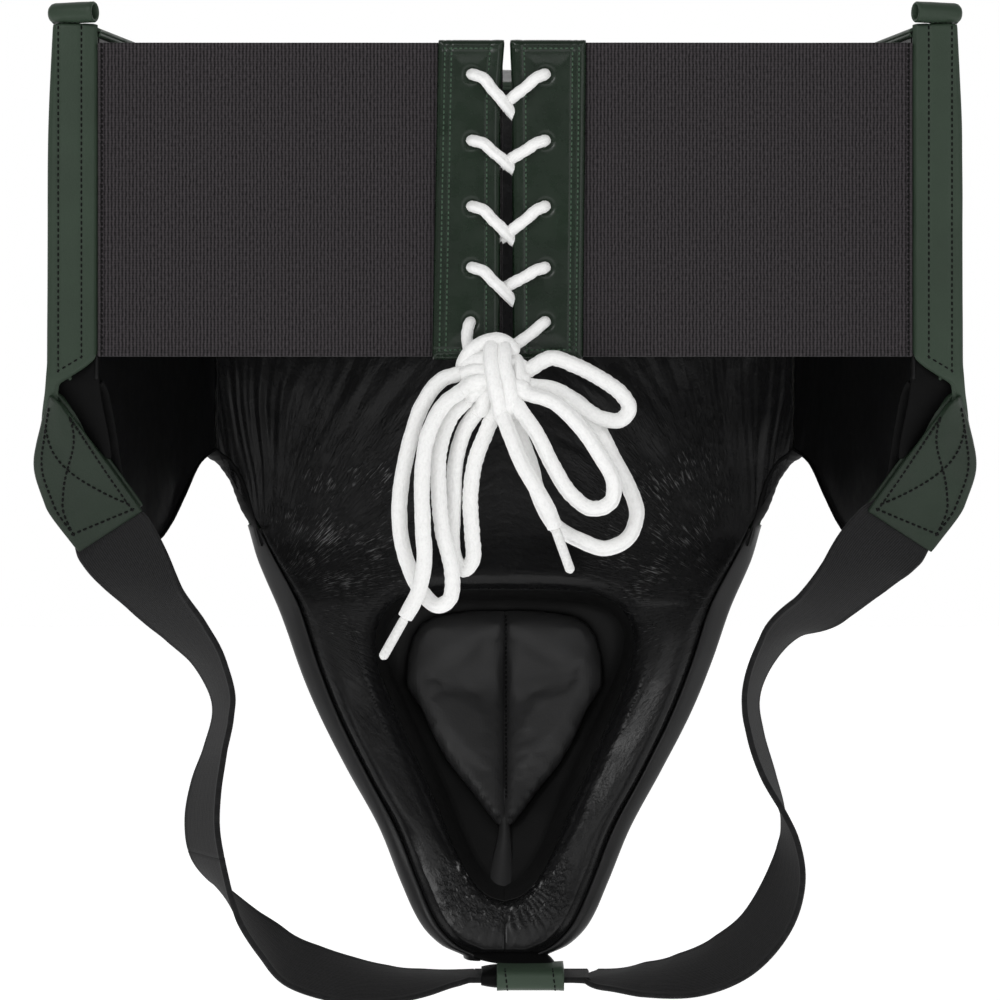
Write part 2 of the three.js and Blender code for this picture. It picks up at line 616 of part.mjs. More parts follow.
// Leg straps: one webbing from hip to hip through the crotch loop. Each station is a place and the turn
// of the webbing's width, from face-on (0) to edge-on (90) and past it where the webbing twists over.
const STRAP_ROUTE = {
  left: [
    [-138.4, -65.4, -124.4, 22], [-127.4, -56.6, -141.5, 46], [-116.7, -49.7, -154.1, 58],
    [-108.7, -44.6, -165.3, 66], [-103.8, -41.4, -177.9, 71], [-103.5, -41.2, -185.3, 74],
    [-106.3, -43, -197.6, 73], [-109.4, -45, -210.3, 67], [-110.8, -45.9, -224.1, 63],
    [-109.1, -44.8, -236.7, 64], [-104.9, -42.1, -247.2, 76], [-100, -38.9, -254.8, 90],
    [-89.7, -32.3, -267.3, 103], [-80.1, -25, -276.5, 113], [-66.4, -15, -283, 114],
    [-49.5, -0.5, -287.2, 107], [-36, 10.8, -288.5, 100], [-25.5, 18, -288.4, 94],
    [-17.5, 21.6, -288.3, 90], [-10.5, 22.5, -288.2, 90],
  ],
  right: [
    [134.6, -64.6, -123.8, 22], [126.5, -57.6, -134, 36], [115.7, -48.8, -145.4, 54],
    [101.8, -38.2, -156, 69], [94.1, -32.2, -168.4, 74], [91, -29.8, -180.3, 77],
    [92.4, -30.9, -191.7, 78], [96.9, -34.4, -207.4, 80], [102.5, -38.7, -222.9, 90],
    [104.3, -40.1, -231.9, 99], [103.9, -39.8, -243.4, 110], [99.7, -36.6, -256.2, 117],
    [90.5, -29.5, -269.6, 117], [75.3, -14.5, -280.2, 112], [58, 2.5, -285.6, 103],
    [46, 13.2, -287.2, 97], [38, 19.6, -288, 91], [31, 22.5, -288.2, 90],
  ],
};

function strapGeometry(stations, sign) {
  const centres = stations.map(([x, y, z]) => point(x, y, z));
  const faces = [[], []];
  centres.forEach((centre, i) => {
    const before = centres[Math.max(0, i - 1)];
    const after = centres[Math.min(centres.length - 1, i + 1)];
    const travel = after.clone().sub(before).normalize();
    const turn = THREE.MathUtils.degToRad(stations[i][3]);
    const width = point(-sign * travel.z, 0, sign * travel.x).normalize().multiplyScalar(Math.cos(turn));
    width.y = Math.sin(turn);
    width.addScaledVector(travel, -width.dot(travel)).normalize();
    const normal = travel.clone().cross(width).normalize();
    [-0.5, 0.5].forEach((level, face) => {
      const corner = (part) => centre.clone().addScaledVector(width, part * STRAP.width)
        .addScaledVector(normal, level * STRAP.thickness);
      faces[face].push([corner(-0.5), corner(0), corner(0.5)]);
    });
  });
  return slab(faces[0], faces[1]);
}

function addStraps() {
  for (const [side, sign] of SIDES) {
    addPiece(`${side}_leg_strap`, strapGeometry(STRAP_ROUTE[side], sign), 'webbing');
  }
  const run = [[LOOP.x0 - STRAP.stub, LOOP.y, LOOP.z, 90], [LOOP.x1 + STRAP.stub, LOOP.y, LOOP.z, 90]];
  addPiece('strap_loop_run', strapGeometry(run, 1), 'webbing');
}

// Crotch loop: a flat leather sleeve under the cup that the webbing runs through.
function roundedBox(width, height, radius) {
  const shape = new THREE.Shape();
  const corners = [[1, -1, -Math.PI / 2], [1, 1, 0], [-1, 1, Math.PI / 2], [-1, -1, Math.PI]];
  for (const [sx, sy, from] of corners) {
    shape.absarc(sx * (width / 2 - radius), sy * (height / 2 - radius), radius, from, from + Math.PI / 2);
  }
  return shape;
}

function addCrotchLoop() {
  const length = LOOP.x1 - LOOP.x0;
  const sleeve = (trim, depth) => new THREE.ExtrudeGeometry(
    roundedBox(LOOP.height - 2 * trim, LOOP.width - 2 * trim, LOOP.height / 2 - trim - 0.4),
    { depth, bevelEnabled: false, curveSegments: 4 },
  ).translate(0, 0, -depth / 2);
  const hollow = fromSolid(toSolid(sleeve(0, length)).subtract(toSolid(sleeve(LOOP.wall, length + 4))));
  hollow.rotateY(Math.PI / 2);
  hollow.translate((LOOP.x0 + LOOP.x1) / 2, LOOP.y, LOOP.z);
  addPiece('crotch_loop', hollow, 'green');
}

addBelly();
addCup();
addWings();
addSideTabs();
addHipPatches();
addStraps();
addCrotchLoop();
addRearBand();
addLace();
addBow();
export default part;
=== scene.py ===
import math

import bmesh
import bpy
import numpy as np
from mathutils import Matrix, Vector, noise


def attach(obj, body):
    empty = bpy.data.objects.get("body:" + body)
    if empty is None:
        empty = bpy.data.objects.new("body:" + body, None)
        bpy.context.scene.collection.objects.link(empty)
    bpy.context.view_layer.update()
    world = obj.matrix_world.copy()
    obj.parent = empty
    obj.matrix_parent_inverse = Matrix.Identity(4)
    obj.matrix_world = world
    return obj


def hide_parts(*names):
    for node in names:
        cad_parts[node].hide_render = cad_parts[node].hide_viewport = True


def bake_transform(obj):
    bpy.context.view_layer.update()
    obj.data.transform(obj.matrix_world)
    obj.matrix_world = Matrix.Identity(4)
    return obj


# A laced groin protector for boxing, seen from behind the wearer. Shapes are worked out in
# millimetres in the CAD frame (+Z up, the wearer faces +Y) and written in metres.
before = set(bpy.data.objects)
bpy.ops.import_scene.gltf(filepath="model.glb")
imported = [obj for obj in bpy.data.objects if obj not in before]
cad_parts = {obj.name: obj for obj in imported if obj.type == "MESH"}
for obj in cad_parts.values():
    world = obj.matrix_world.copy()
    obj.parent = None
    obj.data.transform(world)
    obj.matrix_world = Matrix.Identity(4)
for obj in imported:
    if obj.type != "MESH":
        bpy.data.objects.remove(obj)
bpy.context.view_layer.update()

MM = 0.001
SIDES = (("left", -1), ("right", 1))
REARWARDS = (0, -1, 0)

# ---- Driving dimensions, as in the CAD ----
FRONT_Y, FRONT_RADIUS, FRONT_ARC = 86, 200, 0.515
CORNER_RADIUS, SIDE_TURN, REAR_RUN = 40, 1.3736, 269.3
TOP_Z, HIP_Z, BELLY_RUN, CROTCH_BOTTOM, CUP_TOP = 60, -86, 122, -282, -118
PAD_THICKNESS, LEATHER = 14, 1.7
BAND_TOP, BAND_BOTTOM, BAND_Y, SEAM_X = 55, -55, -98.4, 143.4
LEAN_START, LEAN_REACH, LEAN_POWER = -110, 56, 1.8
SEAM_INSET, TUCK_TURN, FRONT_TURN = 7, 0.6, 1.08
LACE_DIAMETER = 4.4
LACE_ROWS = (43.7, 20.4, -2.8, -24.3, -43.3)
HOLE_X = {"left": -12, "right": 14.4}
KNOT = np.array([-3, -109.8, -65.3])
STRAP_WIDTH, STRAP_THICKNESS = 28.5, 1.6
RIB_PITCH = 1.25
PAD_INSET, PAD_DEPTH = 18.3, 11

# Half width of the front panel along the waist, at a height.
FRONT_EDGE = (
    (TOP_Z, BELLY_RUN), (HIP_Z, BELLY_RUN), (-91, 114), (-99, 108), (-112, 103.5),
    (-130, 97.5), (-150, 89), (-170, 82), (-190, 73.5), (-212, 62),
    (-235, 49), (-255, 40.5), (-270, 33), (-278, 25), (CROTCH_BOTTOM, 16),
)
# Lower edge of a wing, at a run along the waist.
WING_EDGE = (
    (BELLY_RUN, HIP_Z), (140, -93), (158, -104), (179, -115.5), (193, -120),
    (212, -118), (232, -110), (262, -66), (REAR_RUN, -63),
)
# Depth of the cup on its centre line.
CUP_DEPTH = (
    (CUP_TOP, PAD_THICKNESS + 1), (-135, 33), (-155, 50), (-185, 61), (-215, 57),
    (-245, 43), (-265, 29), (-277, 19), (CROTCH_BOTTOM, 13),
)
# Half width of the recess's opening, and of the pad inside it.
RECESS_EDGE = (
    (-141.5, 0), (-142, 25), (-143.5, 37), (-148, 46.5), (-156, 52), (-168, 52.5), (-190, 44),
    (-211, 34), (-228, 26), (-244, 19), (-254, 13), (-260, 6.5), (-262, 0),
)
INNER_PAD_EDGE = (
    (-151, 24), (-155, 33), (-165, 38.5), (-178, 40), (-192, 34), (-210, 24), (-226, 11), (-237, 2.2),
)


# ---- Curves and surfaces ----
def smooth_along(table, key):
    """A smooth curve through (key, value) pairs, which doesn't overshoot them."""
    keys, values = np.array(sorted(table), float).T
    rise = np.diff(values) / np.diff(keys)
    slope = np.concatenate([rise[:1], np.zeros(len(keys) - 2), rise[-1:]])
    same = rise[1:] * rise[:-1] > 0
    slope[1:-1][same] = (2 * rise[1:] * rise[:-1] / np.where(same, rise[1:] + rise[:-1], 1))[same]
    key = np.clip(key, keys[0], keys[-1])
    i = np.clip(np.searchsorted(keys, key) - 1, 0, len(keys) - 2)
    step = keys[i + 1] - keys[i]
    t = (key - keys[i]) / step
    ends = values[i] * (1 + 2 * t) * (1 - t) ** 2 + values[i + 1] * t * t * (3 - 2 * t)
    return ends + step * t * (1 - t) * (slope[i] * (1 - t) - slope[i + 1] * t)


def ramp(value, start, end):
    """0 before start, 1 after end and smooth between them."""
    t = np.clip((value - start) / (end - start), 0, 1)
    return t * t * (3 - 2 * t)


def stack(x, y, z):
    return np.stack(np.broadcast_arrays(x, y, z), -1).astype(float)


def unit(vectors):
    return vectors / np.maximum(np.linalg.norm(vectors, axis=-1, keepdims=True), 1e-9)


def plan_at(run):
    """The waist in plan at a run from the middle of the belly: x, y and the outward normal."""
    distance = np.abs(run)
    side = np.where(np.asarray(run) < 0, -1.0, 1.0)
    arc_end = FRONT_RADIUS * FRONT_ARC
    corner_end = arc_end + CORNER_RADIUS * (SIDE_TURN - FRONT_ARC)
    in_corner = np.minimum(FRONT_ARC + (distance - arc_end) / CORNER_RADIUS, SIDE_TURN)
    turn = np.where(distance <= arc_end, distance / FRONT_RADIUS, in_corner)
    offset = np.where(distance <= arc_end, 0, FRONT_RADIUS - CORNER_RADIUS)
    radius = FRONT_RADIUS - offset
    straight = np.maximum(0, distance - corner_end)
    x = offset * math.sin(FRONT_ARC) + radius * np.sin(turn) + straight * np.cos(turn)
    y = FRONT_Y - FRONT_RADIUS + offset * math.cos(FRONT_ARC) + radius * np.cos(turn)
    return side * x, y - straight * np.sin(turn), side * np.sin(turn), np.cos(turn)


def lean(z):
    """How far the crotch leans back towards the wearer at a height."""
    fall = np.maximum(0, LEAN_START - z) / (LEAN_START - CROTCH_BOTTOM)
    return -LEAN_REACH * fall ** LEAN_POWER


def wall_point(run, z, offset):
    """A point on the padded wall, offset outwards from the lining's inner face."""
    x, y, nx, ny = plan_at(run)
    return stack(x + nx * offset, y + ny * offset + lean(z), z)


def wall_normal(run):
    _, _, nx, ny = plan_at(run)
    return stack(nx, ny, 0)


def lining_run(z):
    """The lining's edge, which stops short of the side bands on the cup."""
    return smooth_along(FRONT_EDGE, z) - SEAM_INSET * ramp(-z, 100, 150)


def dome_point(turn, z, inset):
    """The cup's outer surface moved inwards, with its sides tucked back to the lining's seam."""
    half = smooth_along(FRONT_EDGE, z)
    widest = wall_point(half, z, 0)[..., 1] + SEAM_INSET + 1
    centre = wall_point(0, z, 0)[..., 1] + smooth_along(CUP_DEPTH, z)
    past = np.maximum(0, np.abs(turn) - math.pi / 2) / TUCK_TURN * math.pi / 2
    seam = wall_point(lining_run(z) + 0.6, z, inset + 0.1)
    front_turn = np.minimum(np.abs(turn), math.pi / 2)
    front_x = (half - inset) * np.sin(front_turn)
    front_y = widest + np.maximum(1, centre - widest - inset) * np.cos(front_turn)
    x = front_x + (seam[..., 0] - front_x) * (1 - np.cos(past))
    y = front_y + (seam[..., 1] - front_y) * np.sin(past)
    return stack(np.sign(turn) * x, y, z)


def shell_face(x, z, inset):
    """The cup's inside at a place across."""
    half = smooth_along(FRONT_EDGE, z) - inset
    return dome_point(np.arcsin(np.clip(x / half, -0.98, 0.98)), z, inset)


def perlin(points):
    """Smooth noise from -1 to 1 at each point."""
    flat = np.asarray(points, float).reshape(-1, 3)
    return np.array([noise.noise(Vector(p)) for p in flat]).reshape(np.shape(points)[:-1])


def distances(route, power=1):
    """Distance along a polyline at each of its points, with each step raised to a power."""
    return np.concatenate([[0], np.cumsum(np.linalg.norm(np.diff(route, axis=0), axis=1) ** power)])


def columns_at(at, key, table):
    """Every column of a table, read off at places along a key."""
    return np.stack([np.interp(at, key, table[:, i]) for i in range(table.shape[1])], -1)


def resample(route, spacing):
    """Points at even steps along a polyline. Columns after the third are carried along."""
    route = np.asarray(route, float)
    length = distances(route[:, :3])
    count = max(2, int(round(length[-1] / spacing)) + 1)
    return columns_at(np.linspace(0, length[-1], count), length, route)


def grid(down, across):
    """Two grids of one shape, from values down the rows and values across the columns."""
    return np.meshgrid(down, across, indexing="ij")


def smooth_route(places, spacing):
    """Even steps along a smooth curve through given points."""
    places = np.asarray(places, float)
    key = distances(places[:, :3], 0.5)
    slope = np.gradient(places, key, axis=0)
    at = np.linspace(0, key[-1], len(places) * 24)
    i = np.clip(np.searchsorted(key, at) - 1, 0, len(key) - 2)
    step = (key[i + 1] - key[i])[:, None]
    t = (at - key[i])[:, None] / step
    ends = places[i] * (1 + 2 * t) * (1 - t) ** 2 + places[i + 1] * t * t * (3 - 2 * t)
    return resample(ends + step * t * (1 - t) * (slope[i] * (1 - t) - slope[i + 1] * t), spacing)


# ---- Forms: each returns points, faces and weave coordinates ----
def grid_faces(rows, columns, wrap=False):
    """Quads between the points of a grid, whose columns may close on themselves."""
    r = np.arange(rows - 1)[:, None]
    c = np.arange(columns if wrap else columns - 1)[None, :]
    n = (c + 1) % columns
    corners = (r * columns + c, r * columns + n, (r + 1) * columns + n, (r + 1) * columns + c)
    return np.stack(np.broadcast_arrays(*corners), -1).reshape(-1, 4)


def capped_faces(rows, columns):
    """Quads between rings of points, with a flat cap on the first ring and on the last."""
    caps = [list(range(columns))[::-1], [(rows - 1) * columns + i for i in range(columns)]]
    return grid_faces(rows, columns, wrap=True).tolist() + caps


def sleeve(outer, inner):
    """An open tube with a wall, between a list of outer rings and one of inner rings."""
    points = np.array(outer + inner[::-1])
    rows, columns = points.shape[:2]
    points = points.reshape(-1, 3)
    faces = grid_faces(rows + 1, columns, wrap=True) % len(points)
    return points, faces.tolist(), points


def slab(front, back, bulge=0.35, weave=None):
    """A closed sheet between two grids of points, with a rounded rim."""
    rows, columns = front.shape[:2]
    row = np.r_[np.zeros(columns, int), 1:rows, np.full(columns - 1, rows - 1), rows - 2:0:-1]
    column = np.r_[0:columns, np.full(rows - 1, columns - 1), columns - 2:-1:-1, np.zeros(rows - 2, int)]
    inner_row, inner_column = np.clip(row, 1, rows - 2), np.clip(column, 1, columns - 2)
    middle = (front + back) / 2
    outward = unit(middle[row, column] - middle[inner_row, inner_column])
    thickness = np.linalg.norm(front[row, column] - back[row, column], axis=-1, keepdims=True)
    rim = middle[row, column] + outward * thickness * bulge
    loop = row * columns + column
    ahead = np.roll(loop, -1)
    size, count = rows * columns, len(loop)
    here = 2 * size + np.arange(count)
    there = 2 * size + (np.arange(count) + 1) % count
    faces = np.concatenate([
        grid_faces(rows, columns),
        grid_faces(rows, columns)[:, ::-1] + size,
        np.stack([ahead, loop, here, there], -1),
        np.stack([here, loop + size, ahead + size, there], -1),
    ])
    points = np.concatenate([front.reshape(-1, 3), back.reshape(-1, 3), rim])
    if weave is None:
        return points, faces.tolist(), points
    flat = weave.reshape(-1, 3)
    return points, faces.tolist(), np.concatenate([flat, flat, flat[loop]])


def tube(route, radius, sides=12, relief=None, rounding=1.0):
    """A round cord along a route. relief(along, around) adds to its radius.

    Its ends close over a length of rounding times the radius.
    """
    route = np.asarray(route, float)
    tangent = unit(np.gradient(route, axis=0))
    across = np.zeros_like(route)
    across[0] = unit(np.cross(tangent[0], [0.31, 0.47, 0.83]))
    for i in range(1, len(route)):
        across[i] = unit(across[i - 1] - tangent[i] * np.dot(across[i - 1], tangent[i]))
    over = np.cross(tangent, across)
    along = distances(route)
    to_end = np.minimum(along, along[-1] - along)
    closing = np.sqrt(np.clip(1 - (1 - to_end / (radius * rounding)).clip(0) ** 2, 0.04, 1))
    around = np.linspace(0, 2 * math.pi, sides, endpoint=False)
    size = radius * closing[:, None] * np.ones(sides)
    if relief is not None:
        size = size + relief(along[:, None], around[None, :]) * closing[:, None]
    ring = across[:, None] * np.cos(around)[:, None] + over[:, None] * np.sin(around)[:, None]
    points = route[:, None] + ring * size[..., None]
    faces = capped_faces(len(route), sides)
    weave = stack(along[:, None], radius * around[None, :], 0)
    return points.reshape(-1, 3), faces, weave.reshape(-1, 3)


def stitches(route, outward, pitch=2.1, length=1.5, thread=0.24):
    """Short bowed strands of thread along a route, whose ends dip into the surface."""
    route = np.asarray(route, float)
    outward = np.broadcast_to(outward, route.shape)
    even = resample(np.concatenate([route, outward], axis=1), pitch)
    centre, normal = even[:, :3], unit(even[:, 3:])
    tangent = unit(np.gradient(centre, axis=0))
    side = unit(np.cross(tangent, normal))
    places = np.array([-1, -0.6, 0, 0.6, 1])
    girth = thread * np.array([0.4, 0.95, 1, 0.95, 0.4])
    lift = thread * np.array([-0.7, 0.35, 0.6, 0.35, -0.7])
    sides = 6
    around = np.linspace(0, 2 * math.pi, sides, endpoint=False)[:, None]
    middle = centre[:, None] + tangent[:, None] * (places * length / 2)[:, None]
    middle = middle + normal[:, None] * lift[:, None]
    spread = side[:, None, None] * np.cos(around) + normal[:, None, None] * np.sin(around)
    points = middle[:, :, None] + spread * girth[:, None, None]
    each, size = capped_faces(len(places), sides), len(places) * sides
    faces = [[i + size * k for i in face] for k in range(len(centre)) for face in each]
    return points.reshape(-1, 3), faces, points.reshape(-1, 3)


class Piece:
    """One visible piece, gathered from several forms, each with its own material."""

    def __init__(self, name, *materials):
        self.name, self.materials = name, materials
        self.points, self.weave, self.faces, self.slots = [], [], [], []
        self.count = 0

    def add(self, form, slot=0):
        points, faces, weave = form
        self.points.append(points)
        self.weave.append(weave)
        self.faces += [[i + self.count for i in face] for face in faces]
        self.slots += [slot] * len(faces)
        self.count += len(points)
        return self

    def build(self, finish, *nodes, body="root"):
        """Makes the object, which stands for CAD nodes and rides on a body, or on none."""
        mesh = bpy.data.meshes.new(self.name)
        mesh.from_pydata((np.concatenate(self.points) * MM).tolist(), [], self.faces)
        for item in self.materials:
            mesh.materials.append(item)
        mesh.polygons.foreach_set("material_index", self.slots)
        weave = mesh.attributes.new("weave", "FLOAT_VECTOR", "POINT")
        weave.data.foreach_set("vector", (np.concatenate(self.weave) * MM).astype(np.float32).ravel())
        shape = bmesh.new()
        shape.from_mesh(mesh)
        bmesh.ops.recalc_face_normals(shape, faces=shape.faces)
        shape.to_mesh(mesh)
        shape.free()
        mesh.polygons.foreach_set("use_smooth", [True] * len(mesh.polygons))
        piece = bpy.data.objects.new(self.name, mesh)
        bpy.context.scene.collection.objects.link(piece)
        if nodes:
            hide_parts(*nodes)
        if body is not None:
            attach(piece, body)
        return piece


# ---- Materials ----
class Paint:
    """A procedural material while its nodes are wired up."""

    def __init__(self, name, roughness, **shader_values):
        self.material = bpy.data.materials.new(name)
        self.material.use_nodes = True
        self.tree = self.material.node_tree
        self.shader = self.tree.nodes["Principled BSDF"]
        self.shader.inputs["Roughness"].default_value = roughness
        for key, value in shader_values.items():
            self.shader.inputs[key.replace("_", " ")].default_value = value
        self.place = self.node("ShaderNodeTexCoord").outputs["Object"]

    def node(self, kind, **settings):
        made = self.tree.nodes.new(kind)
        for key, value in settings.items():
            setattr(made, key, value)
        return made

    def wire(self, source, target):
        self.tree.links.new(source, target)

    def weave(self, stretch=(1, 1, 1)):
        """The mesh's own weave coordinates, stretched."""
        source = self.node("ShaderNodeAttribute", attribute_name="weave")
        mapping = self.node("ShaderNodeMapping")
        mapping.inputs["Scale"].default_value = stretch
        self.wire(source.outputs["Vector"], mapping.inputs["Vector"])
        return mapping.outputs["Vector"]

    def noise(self, scale, detail=3.0, place=None):
        made = self.node("ShaderNodeTexNoise")
        made.inputs["Scale"].default_value = scale
        made.inputs["Detail"].default_value = detail
        self.wire(place or self.place, made.inputs["Vector"])
        return made.outputs["Fac"]

    def cells(self, scale, place=None):
        made = self.node("ShaderNodeTexVoronoi")
        made.inputs["Scale"].default_value = scale
        self.wire(place or self.place, made.inputs["Vector"])
        return made.outputs["Distance"]

    def waves(self, pitch, direction, place):
        """Bands of a pitch in millimetres."""
        made = self.node("ShaderNodeTexWave", bands_direction=direction)
        made.inputs["Scale"].default_value = 2 * math.pi / (20 * pitch * MM)
        made.inputs["Distortion"].default_value = 1.4
        made.inputs["Detail Scale"].default_value = 1.5
        self.wire(place, made.inputs["Vector"])
        return made.outputs["Fac"]

    def math(self, operation, first, second):
        made = self.node("ShaderNodeMath", operation=operation)
        for socket, value in zip(made.inputs, (first, second)):
            if isinstance(value, (int, float)):
                socket.default_value = value
            else:
                self.wire(value, socket)
        return made.outputs[0]

    def band(self, value, centre, half):
        """1 where a value is at the centre, falling to 0 at half a width from it."""
        share = self.math("DIVIDE", self.math("SUBTRACT", value, centre), half)
        return self.math("MAXIMUM", self.math("SUBTRACT", 1.0, self.math("MULTIPLY", share, share)), 0.0)

    def colour(self, factor, low, high, start=0.3, end=0.7):
        """Base colour between two shades, as a factor goes from start to end."""
        made = self.node("ShaderNodeValToRGB")
        for stop, place, shade in zip(made.color_ramp.elements, (start, end), (low, high)):
            stop.position, stop.color = place, (*shade, 1)
        self.wire(factor, made.inputs["Fac"])
        self.wire(made.outputs["Color"], self.shader.inputs["Base Color"])

    def roughness(self, factor, low, high):
        made = self.node("ShaderNodeMapRange")
        for key, value in (("From Min", 0.3), ("From Max", 0.7), ("To Min", low), ("To Max", high)):
            made.inputs[key].default_value = value
        self.wire(factor, made.inputs["Value"])
        self.wire(made.outputs["Result"], self.shader.inputs["Roughness"])

    def relief(self, height, depth, strength=1.0):
        """Fine relief of a depth in millimetres."""
        made = self.node("ShaderNodeBump")
        made.inputs["Distance"].default_value = depth * MM
        made.inputs["Strength"].default_value = strength
        self.wire(height, made.inputs["Height"])
        self.wire(made.outputs["Normal"], self.shader.inputs["Normal"])


def shades(colour, spread):
    """A darker and a lighter shade of a colour."""
    return [c * (1 - spread) for c in colour], [c * (1 + spread) for c in colour]


def leather(name, colour, rough, grain=0.9, depth=0.05, spread=0.16, coat=0.0, specular=0.3):
    """Leather with a cell grain, finer pores and slow shifts of shade and gloss."""
    paint = Paint(name, sum(rough) / 2, Coat_Weight=coat, Coat_Roughness=0.22, Specular_IOR_Level=specular)
    pores = paint.math("MULTIPLY", paint.noise(2600, 2), 0.5)
    height = paint.math("ADD", paint.cells(1000 / grain), pores)
    slow = paint.noise(42, 4)
    paint.colour(slow, *shades(colour, spread))
    paint.roughness(paint.noise(160, 3), *rough)
    paint.relief(height, depth)
    return paint.material


# Where fine crease lines catch the light: the weave's stretch, limits across and up as (middle, half) in
# metres, and how strong the lines are.
GLINTS = (
    ((2300, 210, 300), (0.062, 0.036), (-0.122, 0.056), 9.0),
    ((1500, 380, 300), (0.0, 0.028), (-0.255, 0.017), 14.0),
)


def creased_leather(name, colour, rough):
    """Glossy leather: creases along the weave's second axis, with glints in two areas."""
    paint = Paint(name, sum(rough) / 2, Coat_Weight=0.05, Coat_Roughness=0.12, Specular_IOR_Level=0.19)
    creases = paint.noise(1, 4, paint.weave((620, 110, 300)))
    wide = paint.noise(1, 2, paint.weave((230, 42, 120)))
    patchy = paint.math("MULTIPLY", creases, paint.noise(28, 2))
    height = paint.math("ADD", paint.math("MULTIPLY", patchy, 2.0), paint.math("MULTIPLY", wide, 0.8))
    split = paint.node("ShaderNodeSeparateXYZ")
    paint.wire(paint.place, split.inputs[0])
    across = paint.math("ABSOLUTE", split.outputs["X"], 0)
    clusters = paint.math("POWER", paint.math("MULTIPLY", paint.noise(70, 3), 2.0), 2.0)
    # The glints are painted into the base colour as well: a lighter grey along the crease lines is a painted
    # highlight.
    painted_light_and_texture = 0.0
    for stretch, limits_across, limits_up, strength in GLINTS:
        inside = paint.band(across, *limits_across), paint.band(split.outputs["Z"], *limits_up)
        area = paint.math("MULTIPLY", *inside)
        lines = paint.math("POWER", paint.noise(1, 3, paint.weave(stretch)), 4.0)
        lines = paint.math("MULTIPLY", paint.math("MULTIPLY", lines, area), clusters)
        height = paint.math("ADD", height, paint.math("MULTIPLY", lines, strength))
        painted_light_and_texture = paint.math("ADD", paint.math("MULTIPLY", lines, 0.75 + strength / 40), painted_light_and_texture)
    pores = paint.math("MULTIPLY", paint.cells(1100), 0.1)
    # Painted highlight: the base colour turns lighter grey along the crease lines.
    paint.colour(painted_light_and_texture, colour, (0.38, 0.38, 0.38), 0.1, 0.34)
    paint.roughness(paint.noise(190, 3), *rough)
    paint.relief(paint.math("ADD", height, pores), 0.27)
    return paint.material


def ribbed(name, low, high, pitch, cross_pitch, depth):
    """Knitted elastic: ribs across the weave's first axis, crossed by finer rows of yarn."""
    paint = Paint(name, 0.9, Sheen_Weight=0.05, Sheen_Roughness=0.5, Specular_IOR_Level=0.2)
    place = paint.weave()
    ribs = paint.waves(pitch, "X", place)
    yarn = paint.waves(cross_pitch, "Y", place)
    knit = paint.math("ADD", paint.math("MULTIPLY", ribs, 0.5), paint.math("MULTIPLY", yarn, 0.14))
    strands = paint.noise(1, 3, paint.weave((1500, 700, 1)))
    painted_light_and_texture = paint.math("ADD", knit, paint.math("MULTIPLY", strands, 0.7))
    # The base colour follows the knit's height: painted shade in the grooves between the ribs and painted
    # highlight on their crests, over the yarn's own shifts of tone.
    paint.colour(painted_light_and_texture, low, high, 0.35, 1.0)
    paint.relief(painted_light_and_texture, depth)
    return paint.material


def cotton(name, low, high):
    """Braided cotton: two crossing diagonals over fuzz."""
    paint = Paint(name, 0.9, Sheen_Weight=0.3, Sheen_Roughness=0.6)
    first = paint.noise(1, 1, paint.weave((520, 1150, 1)))
    fuzz = paint.noise(1500, 3)
    braid = paint.math("ADD", first, paint.math("MULTIPLY", fuzz, 0.8))
    paint.colour(braid, low, high, 0.5, 1.1)
    paint.relief(braid, 0.16)
    return paint.material


def thread(name, colour):
    """Waxed thread with a fine twist."""
    paint = Paint(name, 0.7, Specular_IOR_Level=0.15)
    twist = paint.noise(3200, 2)
    paint.colour(twist, *shades(colour, 0.3))
    paint.relief(twist, 0.04)
    return paint.material


def speckled(name, colour, roughness, scale, depth):
    """Moulded plastic or foam with a fine speckle."""
    paint = Paint(name, roughness)
    speckle = paint.noise(scale, 4)
    paint.colour(speckle, *shades(colour, 0.12))
    paint.relief(speckle, depth)
    return paint.material


GREEN = leather("green_satin_leather", (0.021, 0.037, 0.0225), (0.44, 0.54), spread=0.1)
PATCH_GREEN = leather("green_patch_leather", (0.0098, 0.0198, 0.0108), (0.46, 0.56), spread=0.1)
LOOP_GREEN = leather("green_loop_leather", (0.033, 0.054, 0.035), (0.44, 0.54), spread=0.1)
PLACKET_GREEN = leather(
    "green_glazed_leather", (0.005, 0.0135, 0.006), (0.22, 0.34), grain=1.4, depth=0.03, coat=0.12)
LINING = creased_leather("black_glossy_leather", (0.0072, 0.0072, 0.0075), (0.2, 0.31))
# A darker copy of the lining's black, for the wing linings: painted shade.
WING_BLACK_PAINTED_SHADE = leather(
    "black_wing_leather_painted_shade", (0.0028, 0.0028, 0.003), (0.3, 0.4), grain=1.2, depth=0.02, specular=0.16)
BAND_BLACK = leather("charcoal_band_leather", (0.013, 0.013, 0.0135), (0.34, 0.44), grain=0.7, depth=0.03)
# A near-black copy of the band's charcoal leather, for the leg arches' bindings, the wings' rear ends and the
# loop's anchor: painted shade.
BINDING_BLACK_PAINTED_SHADE = leather(
    "black_binding_leather_painted_shade", (0.0022, 0.0022, 0.0023), (0.5, 0.6), depth=0.03, specular=0.07)
# A lighter copy of the lining's black, for the recess's wall and floor: painted light in the shaded recess.
RECESS_BLACK_PAINTED_LIGHT = leather("recess_leather_painted_light", (0.011, 0.011, 0.011), (0.5, 0.6), depth=0.03, specular=0.2)
PAD_BLACK = leather("charcoal_pad_leather", (0.0325, 0.0325, 0.033), (0.4, 0.5), grain=1.1, depth=0.03)
